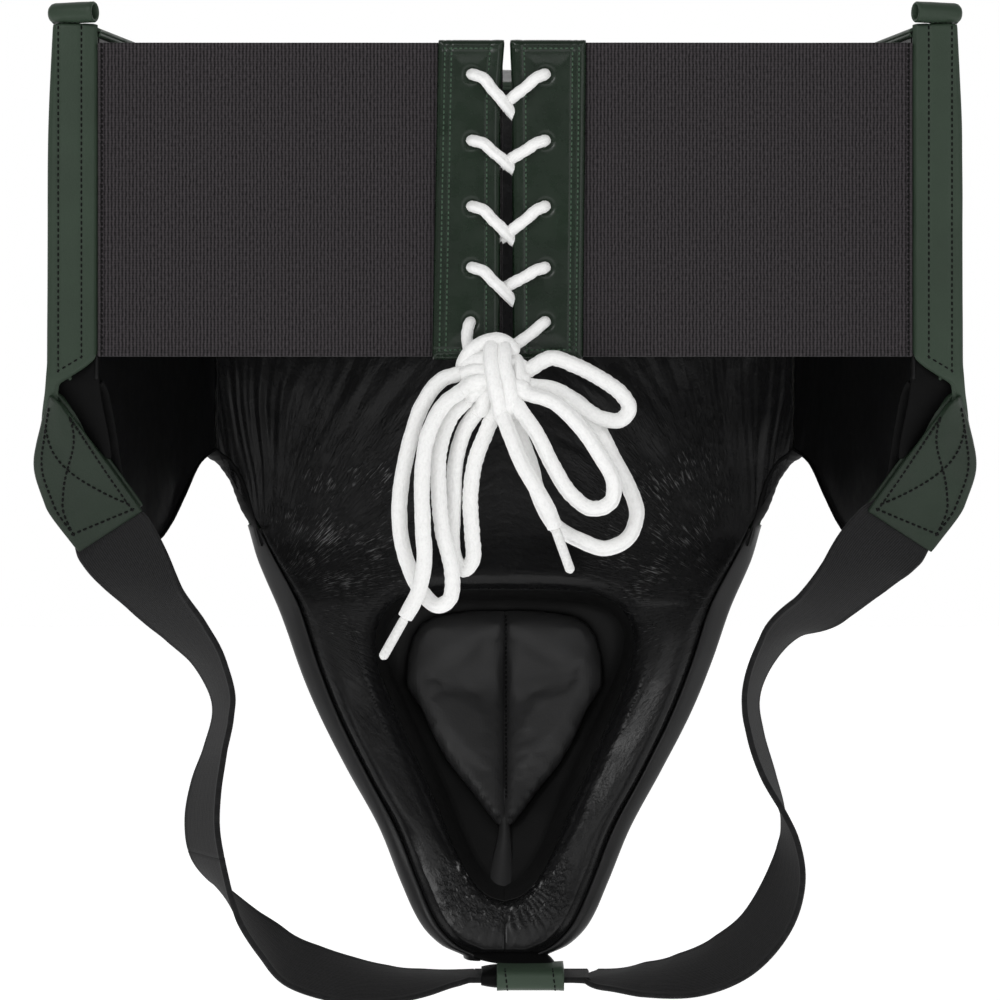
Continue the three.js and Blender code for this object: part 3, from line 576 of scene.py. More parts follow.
# The elastic's and the webbing's dark and light shades are painted shade in the rib grooves and painted
# highlight on the crests.
ELASTIC = ribbed("ribbed_elastic", (0.0035, 0.003, 0.0034), (0.05, 0.044, 0.048), RIB_PITCH, 0.9, 0.12)
WEBBING = ribbed("ribbed_webbing", (0.0045, 0.0045, 0.0047), (0.0165, 0.0165, 0.0172), 0.8, 0.7, 0.09)
COTTON = cotton("white_braided_cotton", (0.8, 0.8, 0.79), (0.9, 0.9, 0.89))
BLACK_THREAD = thread("black_thread", (0.002, 0.002, 0.002))
GREEN_THREAD = thread("green_thread", (0.055, 0.092, 0.062))
FOAM = speckled("grey_foam", (0.35, 0.35, 0.33), 0.95, 1400, 0.2)
PLASTIC = speckled("cup_plastic", (0.7, 0.7, 0.68), 0.5, 700, 0.03)
AGLET_FILM = speckled("aglet_film", (0.78, 0.78, 0.77), 0.32, 900, 0.02)


# ---- Camera, light and floor ----
CAMERA_DISTANCE, CAMERA_X, CAMERA_Z = 1500, -1.8, -106
LENS, SENSOR = 143.1, 36
FLOOR_Z = -345


def add_camera():
    camera = bpy.data.objects.new("camera", bpy.data.cameras.new("camera"))
    camera.location = Vector((CAMERA_X, -CAMERA_DISTANCE, CAMERA_Z)) * MM
    camera.rotation_euler = (math.pi / 2, 0, 0)
    camera.data.lens, camera.data.sensor_width = LENS, SENSOR
    bpy.context.scene.collection.objects.link(camera)
    bpy.context.scene.camera = camera


def add_light(name, place, aim, size, power):
    """A soft square light, aimed at a point."""
    light = bpy.data.lights.new(name, "AREA")
    light.size, light.energy = size, power
    lamp = bpy.data.objects.new(name, light)
    lamp.location = place
    lamp.rotation_euler = (Vector(aim) - Vector(place)).to_track_quat("-Z", "Y").to_euler()
    bpy.context.scene.collection.objects.link(lamp)


def add_sky():
    """White behind the object and dimmer in front of it, so that its edges catch the light."""
    world = bpy.data.worlds.new("studio")
    bpy.context.scene.world = world
    world.use_nodes = True
    tree = world.node_tree
    back = tree.nodes["Background"]
    seen = tree.nodes.new("ShaderNodeBackground")
    seen.inputs["Color"].default_value = (1, 1, 1, 1)
    place = tree.nodes.new("ShaderNodeTexCoord")
    split = tree.nodes.new("ShaderNodeSeparateXYZ")
    level = tree.nodes.new("ShaderNodeMapRange")
    for key, value in (("From Min", -0.3), ("From Max", 0.7), ("To Min", 0.3), ("To Max", 1.0)):
        level.inputs[key].default_value = value
    mix = tree.nodes.new("ShaderNodeMixShader")
    path = tree.nodes.new("ShaderNodeLightPath")
    for source, target in (
        (place.outputs["Generated"], split.inputs[0]), (split.outputs["Y"], level.inputs["Value"]),
        (level.outputs["Result"], back.inputs["Strength"]), (path.outputs["Is Camera Ray"], mix.inputs[0]),
        (back.outputs[0], mix.inputs[1]), (seen.outputs[0], mix.inputs[2]),
        (mix.outputs[0], tree.nodes["World Output"].inputs["Surface"]),
    ):
        tree.links.new(source, target)
    back.inputs["Color"].default_value = (1, 1, 1, 1)


def add_floor():
    """A pale floor, whose half width is in metres."""
    half = 6.0
    mesh = bpy.data.meshes.new("floor")
    corners = [(-half, -half), (half, -half), (half, half), (-half, half)]
    mesh.from_pydata([(x, y, FLOOR_Z * MM) for x, y in corners], [], [(0, 1, 2, 3)])
    paint = Paint("pale_floor", 0.9, Emission_Color=(1, 1, 1, 1), Emission_Strength=0.5)
    paint.colour(paint.noise(3, 2), (0.86, 0.86, 0.86), (0.9, 0.9, 0.9))
    mesh.materials.append(paint.material)
    floor = bpy.data.objects.new("floor", mesh)
    bpy.context.scene.collection.objects.link(floor)


add_camera()
add_sky()
add_floor()
add_light("key_light", (-0.75, -1.3, 0.75), (0, 0, -0.1), 0.55, 6.2)
add_light("fill_light", (0.95, -1.25, 0.3), (0, 0, -0.1), 0.8, 3.0)
add_light("front_light", (0.0, -1.9, 0.9), (0, 0, -0.1), 0.9, 3.2)
bpy.context.scene.view_settings.view_transform = "Standard"


# ---- Bow: the loops and ends that hang from the knot, each a free length of the lace ----
BOW = {
    "bow_loop_left_outer": (
        (-15.2, -109.4, -61.6), (-22.5, -110.5, -64.2), (-29, -111.5, -73), (-33.6, -111.5, -87),
        (-36.6, -110.5, -103), (-36.6, -109, -118), (-33.4, -108, -130), (-28.6, -108, -139),
        (-23.6, -109, -143), (-19.3, -110, -140.4), (-18.6, -111, -131), (-21.8, -112, -117),
        (-23.2, -112.3, -103), (-22.8, -112, -88), (-19, -110.5, -77), (-13.8, -108.8, -71.4),
    ),
    "bow_loop_left_inner": (
        (-9.8, -107.5, -75), (-14, -106.2, -81), (-17.4, -105.4, -93), (-18, -105, -106),
        (-18.6, -104.6, -119), (-17.6, -104.4, -127), (-14.4, -104.6, -130.4), (-11.4, -105.2, -127),
        (-11.6, -105.8, -118), (-12.2, -106.3, -105), (-10.4, -106.8, -92), (-6.8, -107.2, -82.6),
        (-4.6, -107.5, -77.2),
    ),
    "bow_end_left": (
        (-15, -114.6, -67.8), (-21.5, -117, -73), (-27, -118.4, -84), (-28.9, -118.6, -99),
        (-28.6, -118, -115), (-28.2, -117, -128), (-30.4, -115.8, -138.4), (-35.2, -115, -147.6),
    ),
    "bow_loop_right_upper": (
        (8.2, -109, -60.5), (16, -110.5, -56.4), (24.5, -111, -59), (33, -111, -63.4),
        (40.5, -110.5, -68.8), (43.4, -109.5, -74), (40.3, -108.5, -78), (33.5, -108, -77.3),
        (26, -108.5, -72.8), (18, -109, -67.5), (10.5, -109.6, -66.3),
    ),
    "bow_loop_right_middle": (
        (8.2, -114.6, -69), (17, -117, -72), (26, -118.5, -80.5), (33, -118, -90.5),
        (37.8, -116.5, -100), (36.5, -115, -107), (30, -114.5, -109), (22.5, -115, -103.5),
        (16, -116, -93), (11, -116.5, -83), (6.2, -115.5, -76),
    ),
    "bow_loop_right_outer": (
        (9.5, -104.3, -68.5), (18, -103, -68), (26, -102.4, -72), (32.3, -102, -80), (38, -102, -91),
        (44.2, -102, -103), (46.3, -102.5, -111), (43, -103, -119.5), (35, -103, -123), (26, -103, -120),
        (17.5, -103.3, -114.8), (12, -103.6, -105), (8.8, -104.5, -93), (5.5, -106, -84), (3, -107, -77.8),
    ),
    "bow_end_right": (
        (-1.2, -113.5, -75.6), (2.2, -116, -84.5), (6.2, -117, -94),
        (10.8, -117.5, -102), (14.9, -117.3, -109.3), (17.6, -117, -116.4),
    ),
}
AGLET_DIAMETER, AGLET_LENGTH = 3.4, 15.5
LACE_RADIUS = LACE_DIAMETER / 2
SLACK_RADIUS = 2.7
CORD_STEP, CORD_SIDES, LACE_SIDES = 0.7, 16, 14


def braid(along, around):
    """The lace's plaited surface: strands that cross in both directions."""
    turns = along * 2 * math.pi / 5.5
    plait = np.abs(np.sin(turns + 2 * around)) + np.abs(np.sin(turns - 2 * around))
    soft = perlin(stack(along / 2.6, 1.4 * np.cos(around), 1.4 * np.sin(around)))
    return 0.09 * plait + 0.17 * soft - 0.06


def slack_cord(places, rounding=1.0):
    """A length of the untied lace, which is fuller than where it is pulled taut."""
    return tube(smooth_route(places, CORD_STEP), SLACK_RADIUS, CORD_SIDES, braid, rounding)


def add_aglet(side, route):
    """A hard film sleeve that carries on from a cord's end."""
    heading = unit(route[-1] - route[-8])
    tip = route[-1] + heading[None] * np.linspace(-1.2, AGLET_LENGTH + 0.6, 26)[:, None]
    film = Piece(f"aglet_{side}_film", AGLET_FILM).add(tube(tip, AGLET_DIAMETER / 2, CORD_SIDES))
    return film.build("aglet", f"aglet_{side}", body="bow")


def add_bow():
    for name, places in BOW.items():
        route = smooth_route(places, CORD_STEP)
        cord = Piece(name + "_cord", COTTON).add(slack_cord(places, 0.35))
        cord = cord.build("lace", name, body="bow")
        tips = [add_aglet(name.split("_")[-1], route)] if "end" in name else []


# The knot's own strands, as offsets from its centre: the turns in front, then those they bind.
KNOT_STRANDS = (
    ((-1.4, 2, 15), (-2, -2.5, 12.8), (-2, -5.6, 7), (-0.8, -6.6, 0),
     (0.6, -5.6, -6.5), (1.4, -2.6, -10.6), (1.8, 2, -11)),
    ((2.8, 2, 13.5), (2.6, -2.5, 12), (2.8, -5.4, 6), (4.3, -6.2, -1), (5, -5, -7), (4.8, -1.6, -9.8),
     (4.4, 2, -10)),
    ((6.4, 3, 9.5), (7, 0, 7), (7.6, -3, 1), (7.4, -2, -4), (6.4, 2, -7.5)),
    ((-11.6, 3, 2), (-11.4, 1.5, 7), (-9.2, 0, 11), (-5, -1, 14), (0, -1, 15.2), (4.2, 0, 13.6), (7, 2, 10)),
    ((-12.4, 2, 5), (-9, 0, 7.4), (-4.4, -2.4, 8.6), (0.5, -2, 8.4)),
    ((-13, 0.4, 2.6), (-8.4, -2, 4.4), (-3.6, -3, 4.6), (0.5, -2, 4)),
    ((-12.6, -3.5, -2.4), (-8, -4, 0.4), (-3.6, -3.4, 1), (0.5, -2, 1)),
    ((-10, -0.5, -6), (-7.4, -2, -2.4), (-4.4, -2.6, -0.5), (0, -1, 1)),
    ((-5.4, 3, -11.5), (-4.8, 0.5, -7.5), (-3.4, -1, -3), (0, 0, 0)),
    ((11, 2, 4.5), (7.5, 0.5, 6.5), (3.5, -1, 6.8), (0, -1, 5)),
    ((11.4, -1, 0), (8, -2.4, 1.8), (4, -2.5, 2), (0, -1, 1)),
    ((11.2, -4.4, -3), (8, -4.4, -1), (4, -3, 0), (0, -1, 0)),
)


def add_knot():
    """The knot's turns, with a stub into it from every loop and end of the bow."""
    knot = Piece("lace_knot_cord", COTTON)
    for places in KNOT_STRANDS:
        knot.add(slack_cord(np.array(places) + KNOT))
    for name, places in BOW.items():
        route = np.array(places, float)
        ends = [route[1::-1]] if "end" in name else [route[1::-1], route[-2:]]
        for before, last in ends:
            heading = unit(last - before)
            core = KNOT + (last - KNOT) * [0.25, 0.5, 0.2]
            knot.add(slack_cord((last - heading * 3, last, last + heading * 2.5, core)))
    knot.build("lace", "lace_knot", body="bow")


add_bow()
add_knot()


# ---- Rear band: elastic panels, lacing plackets and the lace ----
PLACKET_TOP, PLACKET_BOTTOM, PLACKET_FACE = 55.6, -55.8, -100.9
PLACKET_EDGE = {
    "left": {"outer": ((PLACKET_BOTTOM, -25.2), (PLACKET_TOP, -23.1)),
             "gap": ((PLACKET_BOTTOM, -2.4), (38, -2.1), (PLACKET_TOP, -0.7))},
    "right": {"outer": ((PLACKET_BOTTOM, 26.9), (PLACKET_TOP, 28.1)),
              "gap": ((PLACKET_BOTTOM, 3.3), (38, 2.9), (PLACKET_TOP, 2.2))},
}
PLACKET_SEAMS = {"gap": (4.3,), "outer": (2.0, 4.3)}
SEAM_DROP = 2.6


def edge_line(side, which, z):
    keys, values = np.array(PLACKET_EDGE[side][which], float).T
    return np.interp(z, keys, values)


def furrow(distance, width=0.5):
    """The narrow dip that a row of stitches pulls into leather."""
    return np.exp(-(distance / width) ** 2)


def placket_surface(side, z, share):
    """Front of a placket: a folded edge, furrows at the seams and a low crown between them."""
    gap, outer = edge_line(side, "gap", z), edge_line(side, "outer", z)
    x = gap + (outer - gap) * share
    width = np.abs(outer - gap)
    from_gap, from_outer = share * width, (1 - share) * width
    from_end = np.minimum(PLACKET_TOP - z, z - PLACKET_BOTTOM)
    dip = sum(furrow(from_gap - inset) for inset in PLACKET_SEAMS["gap"])
    dip = dip + sum(furrow(from_outer - inset) for inset in PLACKET_SEAMS["outer"])
    dip = 0.2 * dip + 0.2 * furrow(from_end - SEAM_DROP)
    edge = np.minimum(np.minimum(from_gap, from_outer), from_end)
    rounding = 0.7 * (1 - ramp(edge, -0.4, 1.5))
    crown = 0.35 * ramp(edge, 4, 9) + 0.25 * furrow(from_gap - 2, 1.4)
    holes = sum(np.exp(-(np.hypot(x - HOLE_X[side], z - row) / 2.7) ** 4) for row in LACE_ROWS)
    waver = 0.12 * perlin(stack(x / 9, z / 14, 3.1))
    return stack(x, PLACKET_FACE + dip + rounding - crown + 1.0 * holes + waver, z)


def placket_seam(side, which, inset):
    """A long seam's places, at a distance in from one edge."""
    z = np.linspace(PLACKET_BOTTOM + SEAM_DROP, PLACKET_TOP - SEAM_DROP, 80)
    width = np.abs(edge_line(side, "outer", z) - edge_line(side, "gap", z))
    share = inset / width if which == "gap" else 1 - inset / width
    return placket_surface(side, z, share)


def end_seam(side, z):
    """A short seam's places across one end."""
    mean_width = 24
    first, last = PLACKET_SEAMS["gap"][0], PLACKET_SEAMS["outer"][1]
    share = np.linspace(first / mean_width, 1 - last / mean_width, 30)
    return placket_surface(side, z, share)


def add_plackets():
    for side, _ in SIDES:
        body = "left_band" if side == "left" else "root"
        z, share = grid(np.linspace(PLACKET_TOP, PLACKET_BOTTOM, 200), np.linspace(0, 1, 64))
        face = placket_surface(side, z, share)
        rear = face.copy()
        rear[..., 1] = PLACKET_FACE + 2.1
        placket = Piece(f"placket_{side}_leather", PLACKET_GREEN, GREEN_THREAD)
        placket.add(slab(face, rear))
        rows = [placket_seam(side, which, inset) for which in PLACKET_SEAMS for inset in PLACKET_SEAMS[which]]
        rows += [end_seam(side, PLACKET_TOP - SEAM_DROP), end_seam(side, PLACKET_BOTTOM + SEAM_DROP)]
        for row in rows:
            placket.add(stitches(row, REARWARDS, pitch=1.85, length=1.4, thread=0.33), 1)
        placket.build("placket_leather", f"placket_{side}", body=body)
        near = face.copy()
        near[..., 1] = BAND_Y + 2.3
        backing = Piece(f"placket_backing_{side}_leather", PLACKET_GREEN).add(slab(near, near + [0, 1.5, 0]))
        backing.build("placket_leather", f"placket_backing_{side}", body=body)


def add_elastic():
    """The ribbed band's two halves, each with a plain selvedge and a sewn hem at the side seam."""
    steps_per_rib, hem_inset = 4, 1.2
    heights = np.concatenate([
        np.linspace(BAND_TOP, BAND_TOP - 2, 8), np.linspace(BAND_TOP - 4, BAND_BOTTOM + 4, 36),
        np.linspace(BAND_BOTTOM + 2, BAND_BOTTOM, 8),
    ])
    for side, sign in SIDES:
        inner = -1.2 if side == "left" else 3.6
        count = int(abs(sign * SEAM_X - inner) / RIB_PITCH) * steps_per_rib
        z, x = grid(heights, np.linspace(sign * SEAM_X, inner, count))
        selvedge = 1 - ramp(np.minimum(BAND_TOP - z, z - BAND_BOTTOM), 1.0, 2.0)
        rib = 0.16 * np.cos(2 * math.pi * x / RIB_PITCH) * (1 - 0.7 * selvedge)
        sway = 0.3 * perlin(stack(x / 40, z / 60, 5.5)) * ramp(SEAM_X - np.abs(x), 0, 20)
        face = stack(x, BAND_Y + 0.25 - rib - 0.25 * selvedge + sway, z)
        form = slab(face, stack(x, BAND_Y + 2.0, z), 0.2, stack(x, z, 0))
        panel = Piece(f"elastic_{side}_fabric", ELASTIC, BLACK_THREAD).add(form)
        hem_z = np.linspace(BAND_TOP - 0.6, BAND_BOTTOM + 0.6, 60)
        hem = stack(sign * (SEAM_X - hem_inset), BAND_Y, hem_z)
        panel.add(stitches(hem, REARWARDS, pitch=1.9, length=1.4, thread=0.3), 1)
        if side == "left":
            panel = panel.build("elastic", "elastic_left", body=None)
            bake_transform(panel)
        else:
            panel.build("elastic", "elastic_right")


# How far a strand drops from its hole to the far edge of the gap, row by row.
LACE_DROPS = {"left": (14.6, 10.4, 12.4, 12.2), "right": (10.4, 7.8, 10.4, 7.0)}
# Where a strand heads in X, then its steps: share of the way there, depth and share of the drop.
LACE_CROSSINGS = {
    "left": (3.4, ((0.28, -0.1, 0.1), (0.48, 0, 0.36), (0.63, 0.3, 0.53),
                   (0.8, 2.2, 0.74), (0.95, 4.5, 0.92), (1.1, 5.6, 1.06))),
    "right": (0.6, ((0.26, 0, 0.14), (0.5, 0.1, 0.42), (0.72, 0.7, 0.64),
                    (0.88, 2.8, 0.8), (1.02, 5.4, 0.94), (1.16, 6.6, 1.05))),
}


def lace_strand(side, row):
    """One strand of a chevron, from its hole over the gap and on behind the other placket."""
    sign = -1 if side == "left" else 1
    z, below, drop = LACE_ROWS[row], LACE_ROWS[row + 1], LACE_DROPS[side][row]
    hole, other = HOLE_X[side], HOLE_X["right" if side == "left" else "left"]
    out = PLACKET_FACE - LACE_RADIUS + 0.1
    heading, steps = LACE_CROSSINGS[side]
    start = [(hole, -96, z + 0.3), (hole - sign * 0.2, -99.4, z + 0.3),
             (hole - sign * 0.9, out + 1.2, z - 0.1)]
    crossing = [(hole + (heading - hole) * share, out + deep, z - drop * fall) for share, deep, fall in steps]
    behind = [(-sign * 8.0, -94.2, z - drop - 2.5), (other * 0.85, -93, below + 2),
              (other, -93.4, below + 0.5)]
    return start + crossing + behind


LACE_TAILS = {
    "left": ((-12, -96, -43), (-12.2, -99.6, -43.2), (-12.8, -102.4, -44.6), (-13.4, -103.6, -48.5),
             (-12.8, -105, -53), (-11, -107.5, -58)),
    "right": ((14.4, -96, -43), (14.2, -99.6, -43.2), (13.2, -102.6, -44), (10, -103.4, -46.8),
              (6, -104.4, -49.8), (2.4, -106.4, -52.6), (0.5, -108.5, -55.5)),
}


def add_lace():
    """The ten-hole lacing: chevrons between the rows, two tails to the knot and a strand across the top."""
    strands = []
    for side, _ in SIDES:
        strands += [lace_strand(side, row) for row in range(len(LACE_ROWS) - 1)] + [LACE_TAILS[side]]
    top = LACE_ROWS[0]
    strands.append(((HOLE_X["left"], -93.6, top), (-6, -92.2, top + 0.5),
                    (8, -92.2, top + 0.5), (HOLE_X["right"], -93.6, top)))
    lace = Piece("lace_cord", COTTON)
    for places in strands:
        lace.add(tube(smooth_route(places, CORD_STEP), LACE_RADIUS * 0.93, LACE_SIDES, braid))
    lace = lace.build("lace", "lace", body=None)
    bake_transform(lace)


add_plackets()
add_elastic()
add_lace()


# ---- Side tabs and their rolled tops ----
TAB_FACE, TAB_TOP, TAB_BOTTOM = -98.7, 61.6, -80
TAB_INSIDE, TAB_OUTSIDE, TAB_CROWN_WIDTH = 144, 161, 17.4
TAB_INNER = (
    (TAB_BOTTOM, 159), (-72, 158.4), (-65.5, 157.6), (-63, 154.3), (-60.8, 150.9),
    (-58.4, 147.4), (-56, 145), (-53, 144), (TAB_TOP, 143.9),
)
TAB_OUTER = (
    (TAB_BOTTOM, 164.8), (-76, 164.2), (-72, 163.4), (-68, 162.6),
    (-62, 161.9), (-57, 161.5), (20, 161.2), (TAB_TOP, 159.4),
)
# How far a tab bends away from its plane on its way down to the hip patch.
TAB_BEND = ((TAB_BOTTOM, 10.3), (-76, 7.3), (-72, 4.3), (-68, 2.0), (-62, 0.2), (-56, 0), (TAB_TOP, 0))
# Each seam's distance from the outer edge, and its lower end.
TAB_SEAMS = ((3.4, -60.5), (11.6, -55.6))


def tab_surface(sign, z, share):
    inner, outer = smooth_along(TAB_INNER, z), smooth_along(TAB_OUTER, z)
    x = inner + (outer - inner) * share
    edge = np.minimum(np.minimum(x - inner, outer - x), z - TAB_BOTTOM)
    dip = 0.3 * sum(furrow(TAB_OUTSIDE - inset - x, 0.6) * ramp(z, low - 1, low) for inset, low in TAB_SEAMS)
    crown = 0.5 * np.sin(np.clip((x - TAB_INSIDE) / TAB_CROWN_WIDTH, 0, 1) * math.pi)
    waver = 0.35 * perlin(stack(x / 26, z / 20, sign))
    y = TAB_FACE + 0.5 + dip + 1.1 * (1 - ramp(edge, -0.4, 1.6)) - crown + waver + smooth_along(TAB_BEND, z)
    return stack(sign * x, y, z)


def tab_seam(sign, x, z):
    inner, outer = smooth_along(TAB_INNER, z), smooth_along(TAB_OUTER, z)
    places = tab_surface(sign, z, (x - inner) / (outer - inner))
    return stitches(places, REARWARDS, pitch=2.15, length=1.6, thread=0.28)


def add_side_tabs():
    ends = [(TAB_OUTSIDE - inset, low) for inset, low in TAB_SEAMS]
    for side, sign in SIDES:
        face = tab_surface(sign, *grid(np.linspace(TAB_TOP, TAB_BOTTOM, 150), np.linspace(0, 1, 40)))
        rear = face.copy()
        rear[..., 1] = np.maximum(TAB_FACE + 2.2, face[..., 1] + 0.6)
        tab = Piece(f"{side}_side_tab_leather", GREEN, BLACK_THREAD).add(slab(face, rear, 0.3))
        for x, low in ends:
            tab.add(tab_seam(sign, x, np.linspace(TAB_TOP - 1, low, 120)), 1)
        tab.add(tab_seam(sign, *np.linspace(*ends, 20).T), 1)
        tab.build("green_leather", f"{side}_side_tab")


ROLL_RADIUS, ROLL_BORE, ROLL_LENGTH = 3.7, 2.5, 17.5
ROLL_CENTRE = (152.6, -97.2, 65.9)
ROLL_TILT = 0.34


def add_top_rolls():
    """A rolled leather tube on each tab: its outer end is closed and its inner end is open."""
    half, sides = ROLL_LENGTH / 2, 48
    profile = np.array([
        (half, 0.15), (half, 1.4), (half - 0.3, 2.6), (half - 1.2, 3.4), (half - 2.4, ROLL_RADIUS),
        (2, ROLL_RADIUS), (-3, ROLL_RADIUS + 0.05), (-half + 2.2, ROLL_RADIUS), (-half + 0.5, ROLL_RADIUS),
        (-half + 0.05, 3.35), (-half + 0.1, 2.8), (-half + 0.6, ROLL_BORE), (-2, ROLL_BORE),
        (half - 3, ROLL_BORE - 0.1), (half - 2.2, 1.2), (half - 2.1, 0.15),
    ])
    around = np.linspace(0, 2 * math.pi, sides, endpoint=False)
    x, radius = profile[:, :1], profile[:, 1:]
    ridge = 0.18 * np.exp(-((around[None, :] - 3.6) / 0.12) ** 2) * (radius > 3.5)
    skin = stack(x, (radius + ridge) * np.cos(around), (radius + ridge) * np.sin(around))
    row, turn = np.linspace(-half + 1.4, half - 2, 30), -0.62 * math.pi
    seam = stack(row, ROLL_RADIUS * math.cos(turn + 0.1), ROLL_RADIUS * math.sin(turn))
    cos, sin = math.cos(ROLL_TILT), math.sin(ROLL_TILT)
    tilt = np.array([[cos, sin, 0], [-sin, cos, 0], [0, 0, 1]])
    for side, sign in SIDES:
        points = ((skin @ tilt + ROLL_CENTRE) * [sign, 1, 1]).reshape(-1, 3)
        roll = Piece(f"{side}_top_roll_leather", GREEN, BLACK_THREAD)
        roll.add((points, capped_faces(len(profile), sides), points))
        placed_seam = (seam @ tilt + ROLL_CENTRE) * [sign, 1, 1]
        roll.add(stitches(placed_seam, (0, -0.5, -0.8), pitch=2.0, length=1.4), 1)
        roll.build("green_leather", f"{side}_top_roll")


add_side_tabs()
add_top_rolls()


# ---- Linings: folds fan out from each leg arch ----
FOLD_RUN, FOLD_Z, FOLD_RADIUS = 100, -146, 55


def fan_place(run, z):
    """Polar coordinates about the fold centre below a leg arch, as arc length and radius."""
    across, up = FOLD_RUN - np.abs(run), z - FOLD_Z
    return np.arctan2(up, across) * FOLD_RADIUS, np.hypot(across, up)


def fold_relief(run, z):
    """Height of the lining's folds above its plain surface, towards the wearer."""
    arc, radius = fan_place(run, z)
    side = np.where(np.asarray(run) < 0, 0.0, 17.0)
    bend = 3.0 * perlin(stack(run / 34, z / 34, 2.5))
    ridge = perlin(stack((arc + bend) / 1.9, radius / 40, side))
    broad = perlin(stack((arc + bend) / 5.5, radius / 55, side + 3))
    angle = arc / FOLD_RADIUS
    reach = ramp(radius, 30, 48) * (1 - ramp(radius, 80, 165))
    fan = ramp(angle, 0.1, 0.7) * (1 - ramp(angle, 1.85, 2.12))
    centred = ramp(np.abs(run), 4, 40)
    slow = perlin(stack(run / 30, z / 24, 9))
    folds = 0.6 * ridge + 0.5 * broad
    return folds * fan * reach * centred + 0.5 * slow


def lining_weave(run, z):
    arc, radius = fan_place(run, z)
    return stack(arc, radius, 0.3 * np.asarray(run))


# ---- Belly lining: from the top edge down round the recess, and rolled over its rim ----
ROLL_OVER = 6.5
RIM_BULGE = 4.5
LIP_DEPTH = 4.5
# How many columns the lining has along the top edge, the side and the crotch, and where they meet the rim.
LINING_COLUMNS, RIM_SHARES = (90, 150, 190), (0, 0.2, 0.42, 1)


def recess_outline(count):
    """The recess's right half, from its top centre to its bottom tip, with inward directions."""
    curve = smooth_route([(half, z) for z, half in RECESS_EDGE], 0.4)
    curve[0, 0] = curve[-1, 0] = 0
    curve = columns_at(np.linspace(0, 1, count) * (len(curve) - 1), np.arange(len(curve)), curve)
    tangent = unit(np.gradient(curve, axis=0))
    inward = np.stack([tangent[:, 1], -tangent[:, 0]], -1)
    inward[0], inward[-1] = (0, -1), (0, 1)
    return curve, inward


def outer_outline():
    """The lining's right edge in run and height, from the top centre to the bottom centre."""
    count_top, count_side, count_crotch = LINING_COLUMNS
    inset = 0.3
    top = np.stack([np.linspace(0, BELLY_RUN - inset, count_top), np.full(count_top, TOP_Z)], -1)
    z = np.linspace(TOP_Z, HIP_Z, count_side + 1)[1:]
    side = np.stack([lining_run(z) - inset, z], -1)
    z = np.linspace(HIP_Z, CROTCH_BOTTOM, 400)[1:]
    crotch = np.stack([lining_run(z) - inset, z], -1)
    end = np.stack([np.linspace(crotch[-1, 0], 0, 12)[1:], np.full(11, CROTCH_BOTTOM)], -1)
    crotch = np.concatenate([crotch, end])
    length = distances(crotch)
    return np.concatenate([top, side, columns_at(np.linspace(0, length[-1], count_crotch), length, crotch)])


def rim_shares():
    """How far round the recess's rim each column of the lining ends, from 0 to 1."""
    shares = [np.linspace(RIM_SHARES[0], RIM_SHARES[1], LINING_COLUMNS[0])]
    for i in (1, 2):
        shares.append(np.linspace(RIM_SHARES[i], RIM_SHARES[i + 1], LINING_COLUMNS[i] + 1)[1:])
    return np.concatenate(shares)


def half_lining(rows, sign):
    """Points of one half, rows from the outer edge to the recess, columns round it."""
    outer = outer_outline()
    count = len(outer)
    rim, inward = recess_outline(count)
    place, key = rim_shares() * (count - 1), np.arange(count)
    rim, inward = columns_at(place, key, rim), unit(columns_at(place, key, inward))
    over = (ROLL_OVER - 3.6 * ramp(-rim[:, 1], 230, 252))[:, None]
    start = rim - inward * over
    flat = outer + (start - outer) * np.linspace(0, 1, rows)[:, None, None]
    run, z = flat[..., 0] * sign, flat[..., 1]
    to_rim = np.linalg.norm(flat - rim, axis=-1)
    to_edge = np.linalg.norm(flat - outer, axis=-1)
    arc = distances(rim)[None, :]
    lift = rim_lift(to_rim, to_edge, z) + fold_relief(run, z) * ramp(to_rim, 8, 26) * ramp(to_edge, 0, 5)
    lift = lift + gathers(arc, to_rim, z, sign)
    seam_dip = 1.4 * (1 - ramp(to_edge, 0, 3.5)) * ramp(-z, 115, 140)
    surface = wall_point(run, z, -lift + seam_dip)
    lip, lip_weave = [], []
    for angle in np.linspace(0, 1.75, 12)[1:]:
        place = start + inward * over * math.sin(angle)
        pucker = gathers(arc, ROLL_OVER, place[:, 1], sign)[0]
        deep = over[:, 0] * (1 - math.cos(angle)) + pucker * 0.8
        point = wall_point(place[:, 0] * sign, place[:, 1], -lift[-1])
        point[:, 1] += deep * 0.9 + pucker * 0.2
        lip.append(point)
        lip_weave.append(start + inward * over * angle)
    lip.append(lip[-1] + [0, LIP_DEPTH, 0])
    lip_weave = np.array(lip_weave + [lip_weave[-1] + inward * LIP_DEPTH])
    weave_run = np.concatenate([run, lip_weave[..., 0] * sign])
    weave_z = np.concatenate([z, lip_weave[..., 1]])
    return np.concatenate([surface, np.array(lip)]), lining_weave(weave_run, weave_z), rim, inward


def rim_lift(to_rim, to_edge, z):
    """The padded roll round the recess, proud of the rest of the lining."""
    roll = ramp(-z, 118, 150)
    hump = 1 - np.exp(-to_edge / 5.5)
    crest = np.exp(-(np.maximum(0, to_rim - 9) / 12) ** 2)
    return RIM_BULGE * (roll * hump + (1 - roll) * 0.22 * crest * ramp(to_edge, 2, 20))


